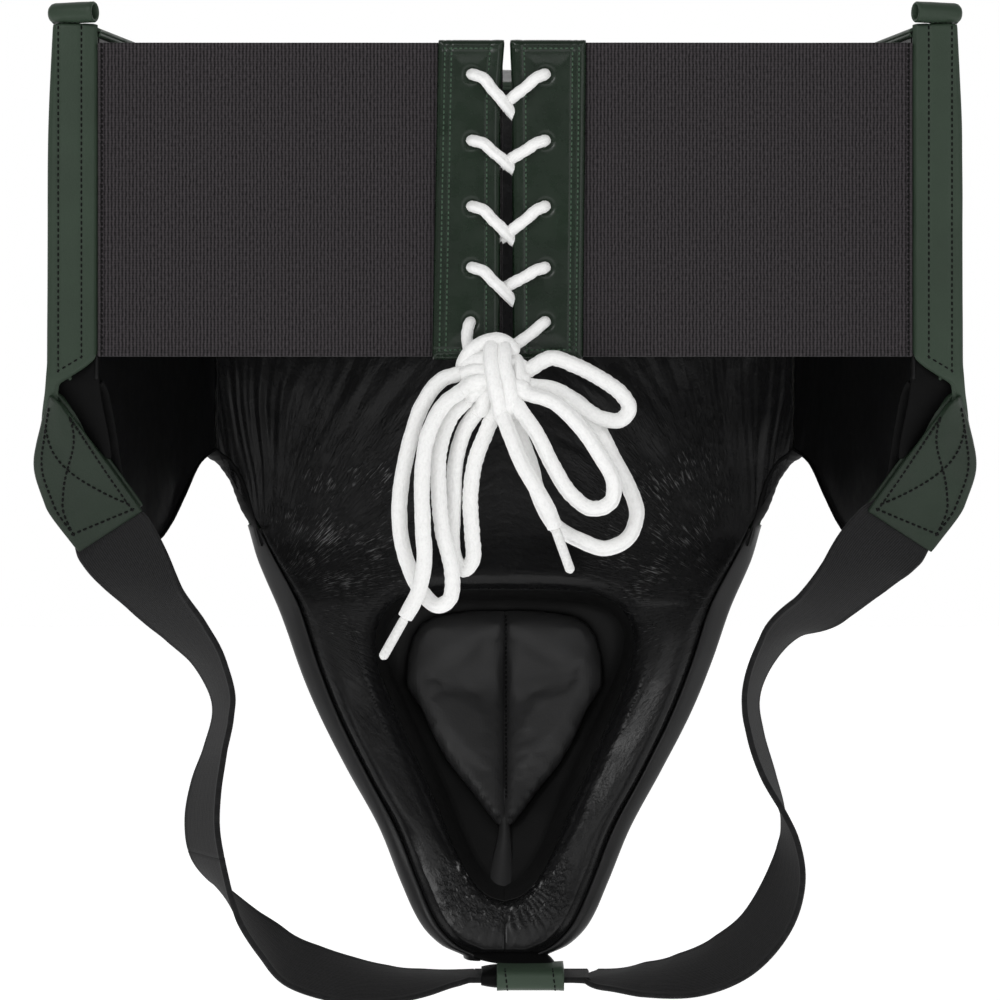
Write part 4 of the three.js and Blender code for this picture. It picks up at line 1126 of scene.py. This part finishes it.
def gathers(arc, to_rim, z, sign):
    """Short puckers across the rim: fine at its shoulders, deep at its bottom."""
    shoulders = ramp(-z, 146, 154) * (1 - ramp(-z, 186, 202)) * 0.16
    bottom = ramp(-z, 250, 263) * 0.62
    patchy = 0.55 + 0.9 * perlin(stack(arc / 6, to_rim / 9, 4.5 * sign))
    wave = np.sin(arc * 2 * math.pi / 1.9 + 2.6 * np.sin(arc / 2.7) + 0.25 * to_rim)
    wave = wave + 0.8 * perlin(stack(arc / 1.3, to_rim / 5, 7 + sign))
    near = np.exp(-((to_rim - ROLL_OVER) / 7.5) ** 2)
    return wave * near * (shoulders + bottom) * 0.5 * patchy


def add_belly_lining():
    """Makes the lining, and returns the recess's rim and the directions into it."""
    left, right = half_lining(110, -1), half_lining(110, 1)
    face, weave = (np.concatenate([left[i][:, ::-1], right[i][:, 1:]], axis=1) for i in (0, 1))
    face[:, face.shape[1] // 2, 0] = 0
    lining = Piece("belly_lining_leather", LINING, BLACK_THREAD)
    lining.add(slab(face, face + [0, 1.0, 0], 0.2, weave))
    lining.build("lining_leather", "belly_lining")
    return right[2], right[3]


RECESS_RIM, RECESS_INWARD = add_belly_lining()


def add_recess_lining():
    """The recess's dark wall and floor, down to the hard cup."""
    depth, wall_rows, floor_rows = 18, 14, 12
    rim = np.concatenate([(RECESS_RIM * [-1, 1])[::-1], RECESS_RIM[1:]])
    inward = np.concatenate([(RECESS_INWARD * [-1, 1])[::-1], RECESS_INWARD[1:]])
    start = wall_point(rim[:, 0], rim[:, 1], 0) + [0, 3.5, 0]
    foot_place = rim + inward * 5
    foot = shell_face(foot_place[:, 0], foot_place[:, 1], depth)
    foot[:, 1] = np.maximum(foot[:, 1], start[:, 1] + 1)
    spine = np.stack([np.zeros(len(rim)), np.clip(rim[:, 1], -225, -175)], -1)
    rows = [start + (foot - start) * t for t in np.linspace(0, 1, wall_rows)]
    for t in np.linspace(0, 1, floor_rows)[1:]:
        place = foot_place + (spine - foot_place) * t * 0.985
        rows.append(shell_face(place[:, 0], place[:, 1], depth))
    face = np.array(rows)
    # Its lighter black is painted light in the shaded recess.
    lining = Piece("recess_lining_leather", RECESS_BLACK_PAINTED_LIGHT)
    lining.add(slab(face, face + [0, 0.8, 0], 0.2))
    lining.build("lining_leather", "recess_roll")


add_recess_lining()


# ---- Inner pad: two crowned halves that meet in a sewn valley ----
PAD_TOP, PAD_BOTTOM = -151, -237


def inflate(piece, cap, pressure=4.0):
    """Swells a closed piece by cloth simulation, moving no point further than cap millimetres."""
    remesh = piece.modifiers.new("remesh", "REMESH")
    remesh.mode, remesh.voxel_size = "VOXEL", 2.6 * MM
    bpy.context.view_layer.objects.active = piece
    bpy.ops.object.modifier_apply(modifier=remesh.name)
    mesh = piece.data
    rest = np.array([v.co for v in mesh.vertices])
    cloth = piece.modifiers.new("cloth", "CLOTH")
    cloth.settings.use_pressure = True
    cloth.settings.uniform_pressure_force = pressure
    cloth.settings.effector_weights.gravity = 0
    for number in range(1, 21):
        bpy.context.scene.frame_set(number)
    bpy.ops.object.modifier_apply(modifier=cloth.name)
    bpy.context.scene.frame_set(1)
    moved = np.array([v.co for v in mesh.vertices]) - rest
    distance = np.linalg.norm(moved, axis=1, keepdims=True)
    moved *= np.minimum(1, cap * MM / np.maximum(distance, 1e-9))
    mesh.vertices.foreach_set("co", (rest + moved).astype(np.float32).ravel())


def pad_point(sign, share, z, level):
    """Inside a half of the pad: level 0 is its back, 1 its crowned face."""
    half = smooth_along(INNER_PAD_EDGE, z)
    x = 0.4 + (half - 0.4) * share
    back = shell_face(x, z, PAD_INSET)
    front = shell_face(x, z, PAD_INSET + PAD_DEPTH)
    end = np.minimum(PAD_TOP - z, z - PAD_BOTTOM)
    crown = (1 - share ** 3.2) ** 0.5 * ramp(end, -1.5, 7) ** 0.7
    valley = 1 - 0.16 * np.exp(-(x / 1.2) ** 2)
    thick = 0.12 + 0.88 * crown * valley
    point = back + (front - back) * (thick * level)[..., None]
    point[..., 0] *= sign
    return point


def add_inner_pads():
    z, share = grid(np.linspace(PAD_TOP, PAD_BOTTOM, 70), np.sin(np.linspace(0, math.pi / 2, 40)))
    for side, sign in SIDES:
        face = pad_point(sign, share, z, 1)
        rear = pad_point(sign, share, z, 0)
        pad = Piece(f"inner_pad_{side}_leather", PAD_BLACK).add(slab(face, rear, 0.3))
        pad = pad.build("pad_leather", f"inner_pad_{side}")
        inflate(pad, 1.6)
        smooth = pad.modifiers.new("smooth", "SUBSURF")
        smooth.levels = smooth.render_levels = 1


def add_pad_seam():
    """The stitches along the pad's valley, and the tapering tail of leather below it."""
    z = np.linspace(PAD_TOP - 2, -224, 60)
    seam = pad_point(1, 0, z, 1) + [0.2, -1.2, 0]
    z, share = grid(np.linspace(-221, -260, 50), np.linspace(-1, 1, 20))
    half_width = 1.2 + 3.6 * ramp(-z, 225, 262)
    inset = 24.5 - 7.5 * ramp(-z, 222, 262)
    x = share * half_width - 1.5 * ramp(-z, 236, 258)
    tail = shell_face(x, z, inset + 2.2 * (1 - share ** 2))
    ridge = Piece("inner_pad_seam_ridge", PAD_BLACK, BLACK_THREAD)
    ridge.add(slab(tail, tail + [0, 2.0, 0], 0.3))
    ridge.add(stitches(seam, REARWARDS, pitch=2.0, length=1.5, thread=0.3), 1)
    ridge.build("pad_leather")


add_inner_pads()
add_pad_seam()


# ---- Wings: lining, foam and cover, with the binding of the top edge and of the leg arches ----
WING_SWELL, ARCH_TAPER = 8, 7
# How far a wing's rear end wall reaches across the padding, by height: it stops short of the hip patch.
WING_END_REACH = ((-92, 0.8), (-73, 14.3), (-66, 16.5), (-58, 17), (-40, 19))


def wing_thickness(run, z):
    """The padding's thickness, which swells at the hip."""
    return PAD_THICKNESS + WING_SWELL * ramp(np.abs(run), 185, 235) * ramp(-z, 10, 90)


def wing_grid(sign, rows, columns):
    share, run = grid(np.linspace(0, 1, rows), np.linspace(BELLY_RUN + 0.4, REAR_RUN, columns))
    bottom = smooth_along(WING_EDGE, run)
    return sign * run, bottom + (TOP_Z - bottom) * share


def arch_taper(distance):
    """How much thinner the padding is close to a leg arch's edge."""
    return ARCH_TAPER * (1 - ramp(distance, 0, 15))


def cover_crown(u, v):
    """How far padding rounds a cover's face away from its edges, from 0 to 1."""
    return ((1 - np.abs(2 * u - 1) ** 6) * (1 - np.abs(2 * v - 1) ** 6)) ** 0.5


def add_wing_end(side, sign):
    """The leather that closes a wing's rear end, behind the side tab."""
    z = np.concatenate([np.linspace(-91, -60, 40), np.linspace(-58, TOP_Z - 0.5, 50)])
    z, share = grid(z, np.linspace(0, 1, 14))
    reach = np.minimum(wing_thickness(REAR_RUN, z), smooth_along(WING_END_REACH, z)) * share
    run = sign * (REAR_RUN - 0.4 - 15 * ramp(-z, 62, 93))
    end = slab(wall_point(run, z, reach), wall_point(run - sign * 1.2, z, reach), 0.3)
    # Its near-black leather is painted shade.
    Piece(f"{side}_wing_end_leather", BINDING_BLACK_PAINTED_SHADE).add(end).build("lining_leather")


def add_wing_cover(side, sign):
    """A wing's outer leather and the foam under it."""
    run, z = wing_grid(sign, 60, 70)
    low_edge = z - smooth_along(WING_EDGE, np.abs(run))
    edge = np.minimum(low_edge, TOP_Z - z)
    rounding = 1.6 * (1 - ramp(edge, 0, 9)) + arch_taper(low_edge)
    waver = 0.5 * perlin(stack(run / 30, z / 30, 4))
    thickness = wing_thickness(run, z)
    outer = wall_point(run, z, thickness - rounding + waver * ramp(edge, 0, 12))
    inner = wall_point(run, z, thickness - rounding - LEATHER)
    cover = Piece(f"{side}_wing_cover_leather", GREEN, BLACK_THREAD).add(slab(outer, inner))
    for row in (4, 55):
        cover.add(stitches(outer[row], wall_normal(run[row]), pitch=3.2, length=2.3, thread=0.3), 1)
    cover.build("green_leather", f"{side}_wing_cover")
    low = wall_point(run, z, 3.0)
    high = wall_point(run, z, np.maximum(4, thickness - LEATHER - 2.4 - arch_taper(low_edge)))
    foam = Piece(f"{side}_wing_foam_pad", FOAM).add(slab(low[2:-2, 1:-3], high[2:-2, 1:-3]))
    foam.build("foam", f"{side}_wing_foam")


def add_wings():
    for side, sign in SIDES:
        run, z = wing_grid(sign, 110, 110)
        face = wall_point(run, z, -fold_relief(run, z) * ramp(REAR_RUN - np.abs(run), 0, 12))
        lining = slab(face, wall_point(run, z, 1.2), 0.2, lining_weave(run, z))
        # The wing lining's darker black is painted shade.
        lining = Piece(f"{side}_wing_lining_leather", WING_BLACK_PAINTED_SHADE).add(lining)
        lining.build("lining_leather", f"{side}_wing_lining")
        add_wing_end(side, sign)
        add_wing_cover(side, sign)


def arch_edge():
    """The leg arch's edge in run and height, from the wing's rear end round to the cup."""
    run = np.linspace(REAR_RUN - 3.5, BELLY_RUN, 300)
    wing = np.stack([run, smooth_along(WING_EDGE, run)], -1)
    z = np.linspace(HIP_Z, CUP_TOP - 6, 80)[1:]
    belly = np.stack([smooth_along(FRONT_EDGE, z), z], -1)
    return resample(np.concatenate([wing, belly]), 1.2)


BINDING_WRAP = 0.42
BINDING_TURN = np.linspace(-BINDING_WRAP, math.pi + BINDING_WRAP, 18)


def across_binding(depth, over, angle):
    """How far out a binding is on its way over an edge, from just past one face to past the other."""
    return depth / 2 - (depth / 2 + over) * math.cos(angle) / math.cos(BINDING_WRAP)


def add_arch_bindings():
    edge = arch_edge()
    tangent = unit(np.gradient(edge, axis=0))
    away = np.stack([-tangent[:, 1], tangent[:, 0]], -1)
    away *= np.where(away[:, 1] > 0, -1, 1)[:, None]
    fade = 1 - ramp(-edge[:, 1], 106, 123) * (edge[:, 0] < BELLY_RUN)
    depth = 3 + (wing_thickness(edge[:, 0], edge[:, 1]) - ARCH_TAPER - 3) * fade
    pucker = 0.18 * np.sin(np.arange(len(edge)) * 2.1) + 0.12 * np.sin(np.arange(len(edge)) * 0.83)
    for side, sign in SIDES:
        outer, inner = [], []
        for angle in BINDING_TURN:
            sine = math.sin(angle)
            bulge = (1.5 * sine + pucker * fade * max(0, sine)) * fade - 0.6 * (1 - fade)
            place = edge + away * bulge[:, None]
            outer.append(wall_point(sign * place[:, 0], place[:, 1], across_binding(depth, 0.5, angle)))
            inner.append(wall_point(sign * edge[:, 0], edge[:, 1], across_binding(depth, -0.4, angle)))
        # Its near-black leather is painted shade.
        binding = Piece(f"{side}_arch_binding_leather", BINDING_BLACK_PAINTED_SHADE)
        binding.add(slab(np.array(outer), np.array(inner), 0.2))
        binding.build("band_leather", f"{side}_arch_binding")


def add_top_binding():
    run = np.linspace(-REAR_RUN, REAR_RUN, 420)
    outer, inner = [], []
    for angle in BINDING_TURN:
        offset = across_binding(PAD_THICKNESS, 0.4, angle)
        height = TOP_Z - 0.4 + 2.4 * math.sin(angle)
        outer.append(wall_point(run, height, offset))
        inner.append(wall_point(run, height - 1.3, offset))
    binding = Piece("top_binding_leather", GREEN, BLACK_THREAD)
    binding.add(slab(np.array(outer), np.array(inner), 0.2))
    for offset, facing in ((PAD_THICKNESS + 0.5, 1), (-0.5, -1)):
        seam = wall_point(run, TOP_Z - 0.9, offset)
        binding.add(stitches(seam, wall_normal(run) * facing, pitch=2.6, length=1.9), 1)
    binding.build("green_leather", "top_binding")


add_wings()
add_arch_bindings()
add_top_binding()


# ---- Belly cover and cup ----
COVER_STITCH = {"pitch": 3.0, "length": 2.2, "thread": 0.3}


def add_belly_cover():
    z, share = grid(np.linspace(TOP_Z, CUP_TOP + 1.2, 120), np.linspace(-1, 1, 160))
    half = smooth_along(FRONT_EDGE, z)
    run = share * half
    crown = cover_crown((share + 1) / 2, (TOP_Z - z) / (TOP_Z - CUP_TOP))
    waver = 0.6 * perlin(stack(run / 34, z / 34, 6))
    taper = arch_taper((1 - np.abs(share)) * half) * ramp(-z, 78, 92)
    offset = PAD_THICKNESS - 1.6 + 2.2 * crown + waver * crown - taper
    outer = wall_point(run, z, offset)
    cover = Piece("belly_cover_leather", GREEN, BLACK_THREAD)
    cover.add(slab(outer, wall_point(run, z, offset - LEATHER)))
    for row in (3, -4):
        cover.add(stitches(outer[row], wall_normal(run[row]), **COVER_STITCH), 1)
    cover.build("green_leather", "belly_cover")
    keep = slice(3, -3)
    foam_face = np.maximum(4.6, offset - LEATHER - 1)
    foam = slab(wall_point(run, z, 3.4)[keep, keep], wall_point(run, z, foam_face)[keep, keep])
    Piece("belly_foam_pad", FOAM).add(foam).build("foam", "belly_foam")


def dome_grid(top, bottom, rows, turns):
    z, turn = grid(np.linspace(top, bottom, rows), turns)
    return turn, z


def dome_normal(turn, z):
    step = 0.02
    across = dome_point(turn + step, z, 0) - dome_point(turn - step, z, 0)
    down = dome_point(turn, z - 1, 0) - dome_point(turn, z + 1, 0)
    normal = unit(np.cross(across, down))
    return normal * np.where(normal[..., 1:2] < 0, -1, 1)


def add_cup():
    """The cup's leather cover, sewn along its edges and on both sides of its centre ridge, and its foam."""
    turn, z = dome_grid(CUP_TOP, CROTCH_BOTTOM - 1, 130, np.linspace(-FRONT_TURN, FRONT_TURN, 110))
    ridge = 0.5 * furrow(turn * 60, 1.2)
    edge = 1.3 * (1 - ramp(FRONT_TURN - np.abs(turn), 0, 0.09))
    waver = 0.5 * perlin(stack(turn * 2, z / 26, 8))
    inset = edge + ridge + waver + 0.3
    outer, normal = dome_point(turn, z, inset), dome_normal(turn, z)
    cover = Piece("cup_cover_leather", GREEN, BLACK_THREAD)
    cover.add(slab(outer, dome_point(turn, z, inset + LEATHER)))
    for column in (5, 53, 56, 104):
        places, outward = outer[2:-2, column], normal[2:-2, column]
        cover.add(stitches(places, outward, **COVER_STITCH), 1)
    cover.build("green_leather", "cup_cover")
    turn, z = dome_grid(-126, -270, 60, np.linspace(-1.26, 1.26, 60))
    foam = slab(dome_point(turn, z, 3.4), dome_point(turn, z, 11.2))
    Piece("cup_foam_pad", FOAM).add(foam).build("foam", "cup_foam")


def add_side_bands():
    """The strips that wrap from the cup's front round its sides, each with a piped front edge."""
    wrap = np.concatenate([np.linspace(FRONT_TURN + 0.01, math.pi / 2, 24),
                           math.pi / 2 + np.linspace(0, TUCK_TURN, 16)[1:]])
    for side, sign in SIDES:
        turn, z = dome_grid(CUP_TOP + 2, CROTCH_BOTTOM - 1, 150, sign * wrap)
        past = np.abs(turn)
        crease = 0.5 * furrow((past - 1.4) * 40, 1.1) + 0.9 * (1 - ramp(past - FRONT_TURN, 0, 0.08))
        waver = 0.25 * perlin(stack(turn * 5, z / 22, sign))
        inset = crease + (waver + 0.6 * (1 - ramp(CUP_TOP + 2 - z, 0, 14)))
        form = slab(dome_point(turn, z, inset + 0.2), dome_point(turn, z, inset + 1.9))
        band = Piece(f"{side}_side_band_leather", BAND_BLACK, BLACK_THREAD).add(form)
        piping_z = np.linspace(CUP_TOP, CROTCH_BOTTOM + 2, 120)
        band.add(tube(dome_point(sign * FRONT_TURN, piping_z, 0.8), 1.1, 10))
        band.build("band_leather", f"{side}_side_band")


add_belly_cover()
add_cup()
add_side_bands()
shell_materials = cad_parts["cup_shell"].data.materials
shell_materials.clear()
shell_materials.append(PLASTIC)


# ---- Hip patches: two leather layers with the sewn strap end between ----
PATCH_INNER = (np.array([156, -96, -73]), np.array([131, -70, -110.6]))
PATCH_OUTER = (
    (0, (161, -96.5, -70)), (0.3, (165, -89, -82)), (0.6, (168.0, -81, -95)),
    (0.85, (164.6, -74, -109)), (1, (153.5, -70, -125)),
)
PATCH_INWARDS = np.array([0, 0.86, 0.51])
PATCH_CROWN, PATCH_LAYER, PATCH_PITCH = 2.5, 2, 2.6


def patch_point(sign, row, column, depth):
    """A place on a hip patch: row 0 is its narrow top, column 0 its inner edge."""
    row, column = np.broadcast_arrays(np.asarray(row, float), np.asarray(column, float))
    inner = PATCH_INNER[0] + (PATCH_INNER[1] - PATCH_INNER[0]) * row[..., None]
    outer = np.stack([smooth_along([(k, p[i]) for k, p in PATCH_OUTER], row) for i in range(3)], -1)
    point = inner + (outer - inner) * column[..., None] + PATCH_INWARDS * np.asarray(depth)[..., None]
    point[..., 1] -= PATCH_CROWN * np.sin(math.pi * column) * (1 - row)
    return point * [sign, 1, 1]


def patch_seams():
    """The border and the cross that are sewn through a patch, as its rows and columns."""
    along = np.linspace(0, 1, 40)
    border = [(0.12 + 0.83 * along, 0.07), (0.1 + 0.85 * along, 0.9), (0.95, 0.07 + 0.83 * along)]
    bowed = 0.88 - 0.81 * along + 0.1 * np.sin(math.pi * along)
    return border + [(0.14 + 0.81 * along, 0.12 + 0.78 * along), (0.28 + 0.62 * along, bowed)]


def add_hip_patches():
    """Each patch has a sewn front layer, a back layer and the strap's end between them."""
    row, column = grid(np.linspace(0, 1, 70), np.linspace(0, 1, 50))
    edge = np.minimum(np.minimum(column, 1 - column) * 30 * (0.3 + row), (1 - row) * 60)
    for side, sign in SIDES:
        dip = 0.7 * (1 - ramp(edge, 0, 2.2)) + 0.15 * perlin(stack(row * 5 + sign, column * 4, 0))
        patch = Piece(f"{side}_hip_patch_leather", PATCH_GREEN, BLACK_THREAD)
        patch.add(slab(patch_point(sign, row, column, dip), patch_point(sign, row, column, PATCH_LAYER)))
        outward = -PATCH_INWARDS * [sign, 1, 1]
        for rows, columns in patch_seams():
            seam = patch_point(sign, rows, columns, 0)
            patch.add(stitches(seam, outward, pitch=2.3, length=1.75, thread=0.38), 1)
        patch.build("green_leather", f"{side}_hip_patch")
        near = patch_point(sign, row, column, 2 * PATCH_PITCH)
        far = patch_point(sign, row, column, 2 * PATCH_PITCH + PATCH_LAYER - dip)
        layer = Piece(f"{side}_hip_patch_back_leather", PATCH_GREEN).add(slab(near, far))
        layer.build("green_leather", f"{side}_hip_patch_back")
        rows, columns = grid(np.linspace(0.62, 1.07, 30), np.linspace(0.05, 0.95, 24))
        near = patch_point(sign, rows, columns, PATCH_PITCH)
        far = patch_point(sign, rows, columns, PATCH_PITCH + STRAP_THICKNESS + 0.2)
        end = slab(near, far, 0.3, stack(columns * STRAP_WIDTH, rows * 50, 0))
        Piece(f"{side}_strap_end_webbing", WEBBING).add(end).build("webbing", f"{side}_strap_end")


add_hip_patches()


# ---- Leg straps: one webbing from hip to hip through the crotch loop ----
# The loop's two ends along X, its centre in Y and Z, and its size.
LOOP_START, LOOP_END, LOOP_PLACE = -3, 22.5, (22.5, -288.2)
LOOP_WIDTH, LOOP_HEIGHT, LOOP_WALL = 35, 9.4, 1.6
# Places on the webbing's centre line, with the turn of its width in degrees.
STRAP_ROUTE = {
    "left": (
        (-138.4, -65.4, -124.4, 22), (-127.4, -56.6, -141.5, 46), (-116.7, -49.7, -154.1, 58),
        (-108.7, -44.6, -165.3, 66), (-103.8, -41.4, -177.9, 71), (-103.5, -41.2, -185.3, 74),
        (-106.3, -43, -197.6, 73), (-109.4, -45, -210.3, 67), (-110.8, -45.9, -224.1, 63),
        (-109.1, -44.8, -236.7, 64), (-104.9, -42.1, -247.2, 76), (-100, -38.9, -254.8, 90),
        (-89.7, -32.3, -267.3, 103), (-80.1, -25, -276.5, 113), (-66.4, -15, -283, 114),
        (-49.5, -0.5, -287.2, 107), (-36, 10.8, -288.5, 100), (-25.5, 18, -288.4, 94),
        (-17.5, 21.6, -288.3, 90), (-10.5, 22.5, -288.2, 90),
    ),
    "right": (
        (134.6, -64.6, -123.8, 22), (126.5, -57.6, -134, 36), (115.7, -48.8, -145.4, 54),
        (101.8, -38.2, -156, 69), (94.1, -32.2, -168.4, 74), (91, -29.8, -180.3, 77),
        (92.4, -30.9, -191.7, 78), (96.9, -34.4, -207.4, 80), (102.5, -38.7, -222.9, 90),
        (104.3, -40.1, -231.9, 99), (103.9, -39.8, -243.4, 110), (99.7, -36.6, -256.2, 117),
        (90.5, -29.5, -269.6, 117), (75.3, -14.5, -280.2, 112), (58, 2.5, -285.6, 103),
        (46, 13.2, -287.2, 97), (38, 19.6, -288, 91), (31, 22.5, -288.2, 90),
    ),
}


# The webbing lies flatter than that where it leaves the hip patch.
STRAP_FIRST_TURN = 9


def strap_form(route, sign, tucked=False):
    """Flat webbing along a route whose fourth column is the turn of its width, in degrees.

    A tucked strap starts narrower, where it comes out of the hip patch.
    """
    centre, turn = route[:, :3], np.radians(route[:, 3])
    travel = unit(np.gradient(centre, axis=0))
    level = unit(stack(-sign * travel[:, 2], 0, sign * travel[:, 0]))
    width = level * np.cos(turn)[:, None] + stack(0, np.sin(turn), 0)
    width = unit(width - travel * np.sum(width * travel, axis=1)[:, None])
    normal = unit(np.cross(travel, width))
    across = np.linspace(-0.5, 0.5, 47)
    rib = 0.04 * np.cos(across * STRAP_WIDTH * 2 * math.pi / 1.6)
    edge = 0.25 * ramp(np.abs(across), 0.44, 0.49)
    narrowing = 1 - 0.16 * (1 - ramp(np.arange(len(route)), 0, 6)) * tucked
    flat = centre[:, None] + width[:, None] * (across[None, :] * STRAP_WIDTH * narrowing[:, None])[..., None]
    half = (STRAP_THICKNESS / 2 + rib + edge)[:, None]
    weave = stack((across * STRAP_WIDTH)[None, :], distances(centre)[:, None], 0)
    return slab(flat - normal[:, None] * half, flat + normal[:, None] * half, 0.3, weave)


def add_straps():
    """Each strap in two halves, which are made in place and ride on no body."""
    held = 18
    for side, sign in SIDES:
        places = np.array(STRAP_ROUTE[side], float)
        places[0, 3] = STRAP_FIRST_TURN
        under_patch = [(*patch_point(sign, 0.95, 0.52, 3.4), 0)]
        route = smooth_route(np.concatenate([under_patch, places]), 1.6)
        middle = len(route) // 2
        body = f"{side}_strap"
        top, bottom = places[0, :3], places[-1, :3]
        for name, part, start, end, order in (
            ("upper", route[: middle + 1], top, route[held, :3], ("root", body)),
            ("lower", route[middle:], route[-held, :3], bottom, (body, "root")),
        ):
            strap = Piece(f"{side}_leg_strap_{name}", WEBBING).add(strap_form(part, sign, name == "upper"))
            strap = strap.build("webbing", f"{side}_leg_strap", body=None)
            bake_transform(strap)
    run = np.array([(x, *LOOP_PLACE, 90) for x in np.linspace(-11.5, 32, 30)], float)
    Piece("strap_loop_run_webbing", WEBBING).add(strap_form(run, 1)).build("webbing", "strap_loop_run")


# ---- Crotch loop: a flat leather sleeve that the webbing runs through ----
def oval(count, half, powers):
    """A rounded oblong as two coordinates, from its half sizes. Lower powers make squarer corners."""
    turn = np.linspace(0, 2 * math.pi, count, endpoint=False)
    waves = np.cos(turn), np.sin(turn)
    return [size * np.sign(w) * np.abs(w) ** power for size, w, power in zip(half, waves, powers)]


def sleeve_ring(x, inset):
    """A ring of the loop's cross-section at a place along X, moved inwards."""
    y, z = oval(72, (LOOP_WIDTH / 2 - inset, LOOP_HEIGHT / 2 - inset), (0.45, 0.6))
    return stack(x, y + LOOP_PLACE[0], z + LOOP_PLACE[1])


def add_crotch_loop():
    along = np.linspace(0, 1, 30)
    flare = 0.15 * (furrow(along, 0.08) + furrow(1 - along, 0.08))
    places = LOOP_START + (LOOP_END - LOOP_START) * along
    outer = [sleeve_ring(x, 0.25 - wide) for x, wide in zip(places, flare)]
    inner = [sleeve_ring(x, LOOP_WALL + wide) for x, wide in zip(places, flare)]
    loop = Piece("crotch_loop_leather", LOOP_GREEN, BLACK_THREAD).add(sleeve(outer, inner))
    for x in (LOOP_START + 3.6, LOOP_END - 3.8):
        z = np.linspace(-LOOP_HEIGHT / 2 + 0.6, LOOP_HEIGHT / 2 - 0.6, 12)
        y = LOOP_PLACE[0] - (LOOP_WIDTH / 2 - 0.1) * (1 - (np.abs(z) / (LOOP_HEIGHT / 2)) ** 3.4) ** 0.3
        seam = stack(x - 0.12 * z, y, z + LOOP_PLACE[1])
        loop.add(stitches(seam, REARWARDS, pitch=2.2, length=1.6, thread=0.28), 1)
    loop.build("green_leather", "crotch_loop")


# The anchor's rings: height, half sizes in X and Y, and centre in X and Y.
ANCHOR_RINGS = (
    (-279, 14, 5, 0, 37), (-281, 15, 6.5, 1, 35.5), (-282.6, 15, 7.5, 3, 34),
    (-283.6, 13, 7.5, 6, 32.5), (-284.3, 10.5, 7, 8.5, 31),
)


def add_loop_anchor():
    """Black leather that joins the crotch's bottom end to the loop below it, and lines the loop's mouth."""
    rings, sides = [], 64
    for z, half_x, half_y, x, y in ANCHOR_RINGS:
        across, deep = oval(sides, (half_x, half_y), (0.6, 0.6))
        rings.append(stack(x + across, y + deep, z))
    points = np.concatenate(rings)
    # Its near-black leather is painted shade.
    anchor = Piece("crotch_loop_anchor_leather", BINDING_BLACK_PAINTED_SHADE)
    anchor.add((points, capped_faces(len(rings), sides), points))
    shares = np.linspace(0, 1, 14)
    outer = [sleeve_ring(LOOP_START + 2 - 8 * share, 1.2 + share ** 2) for share in shares]
    inner = [sleeve_ring(LOOP_START + 2 - 8 * share, 2.4 + 0.2 * share) for share in shares]
    anchor.add(sleeve(outer, inner))
    anchor.build("band_leather")


add_straps()
add_crotch_loop()
add_loop_anchor()
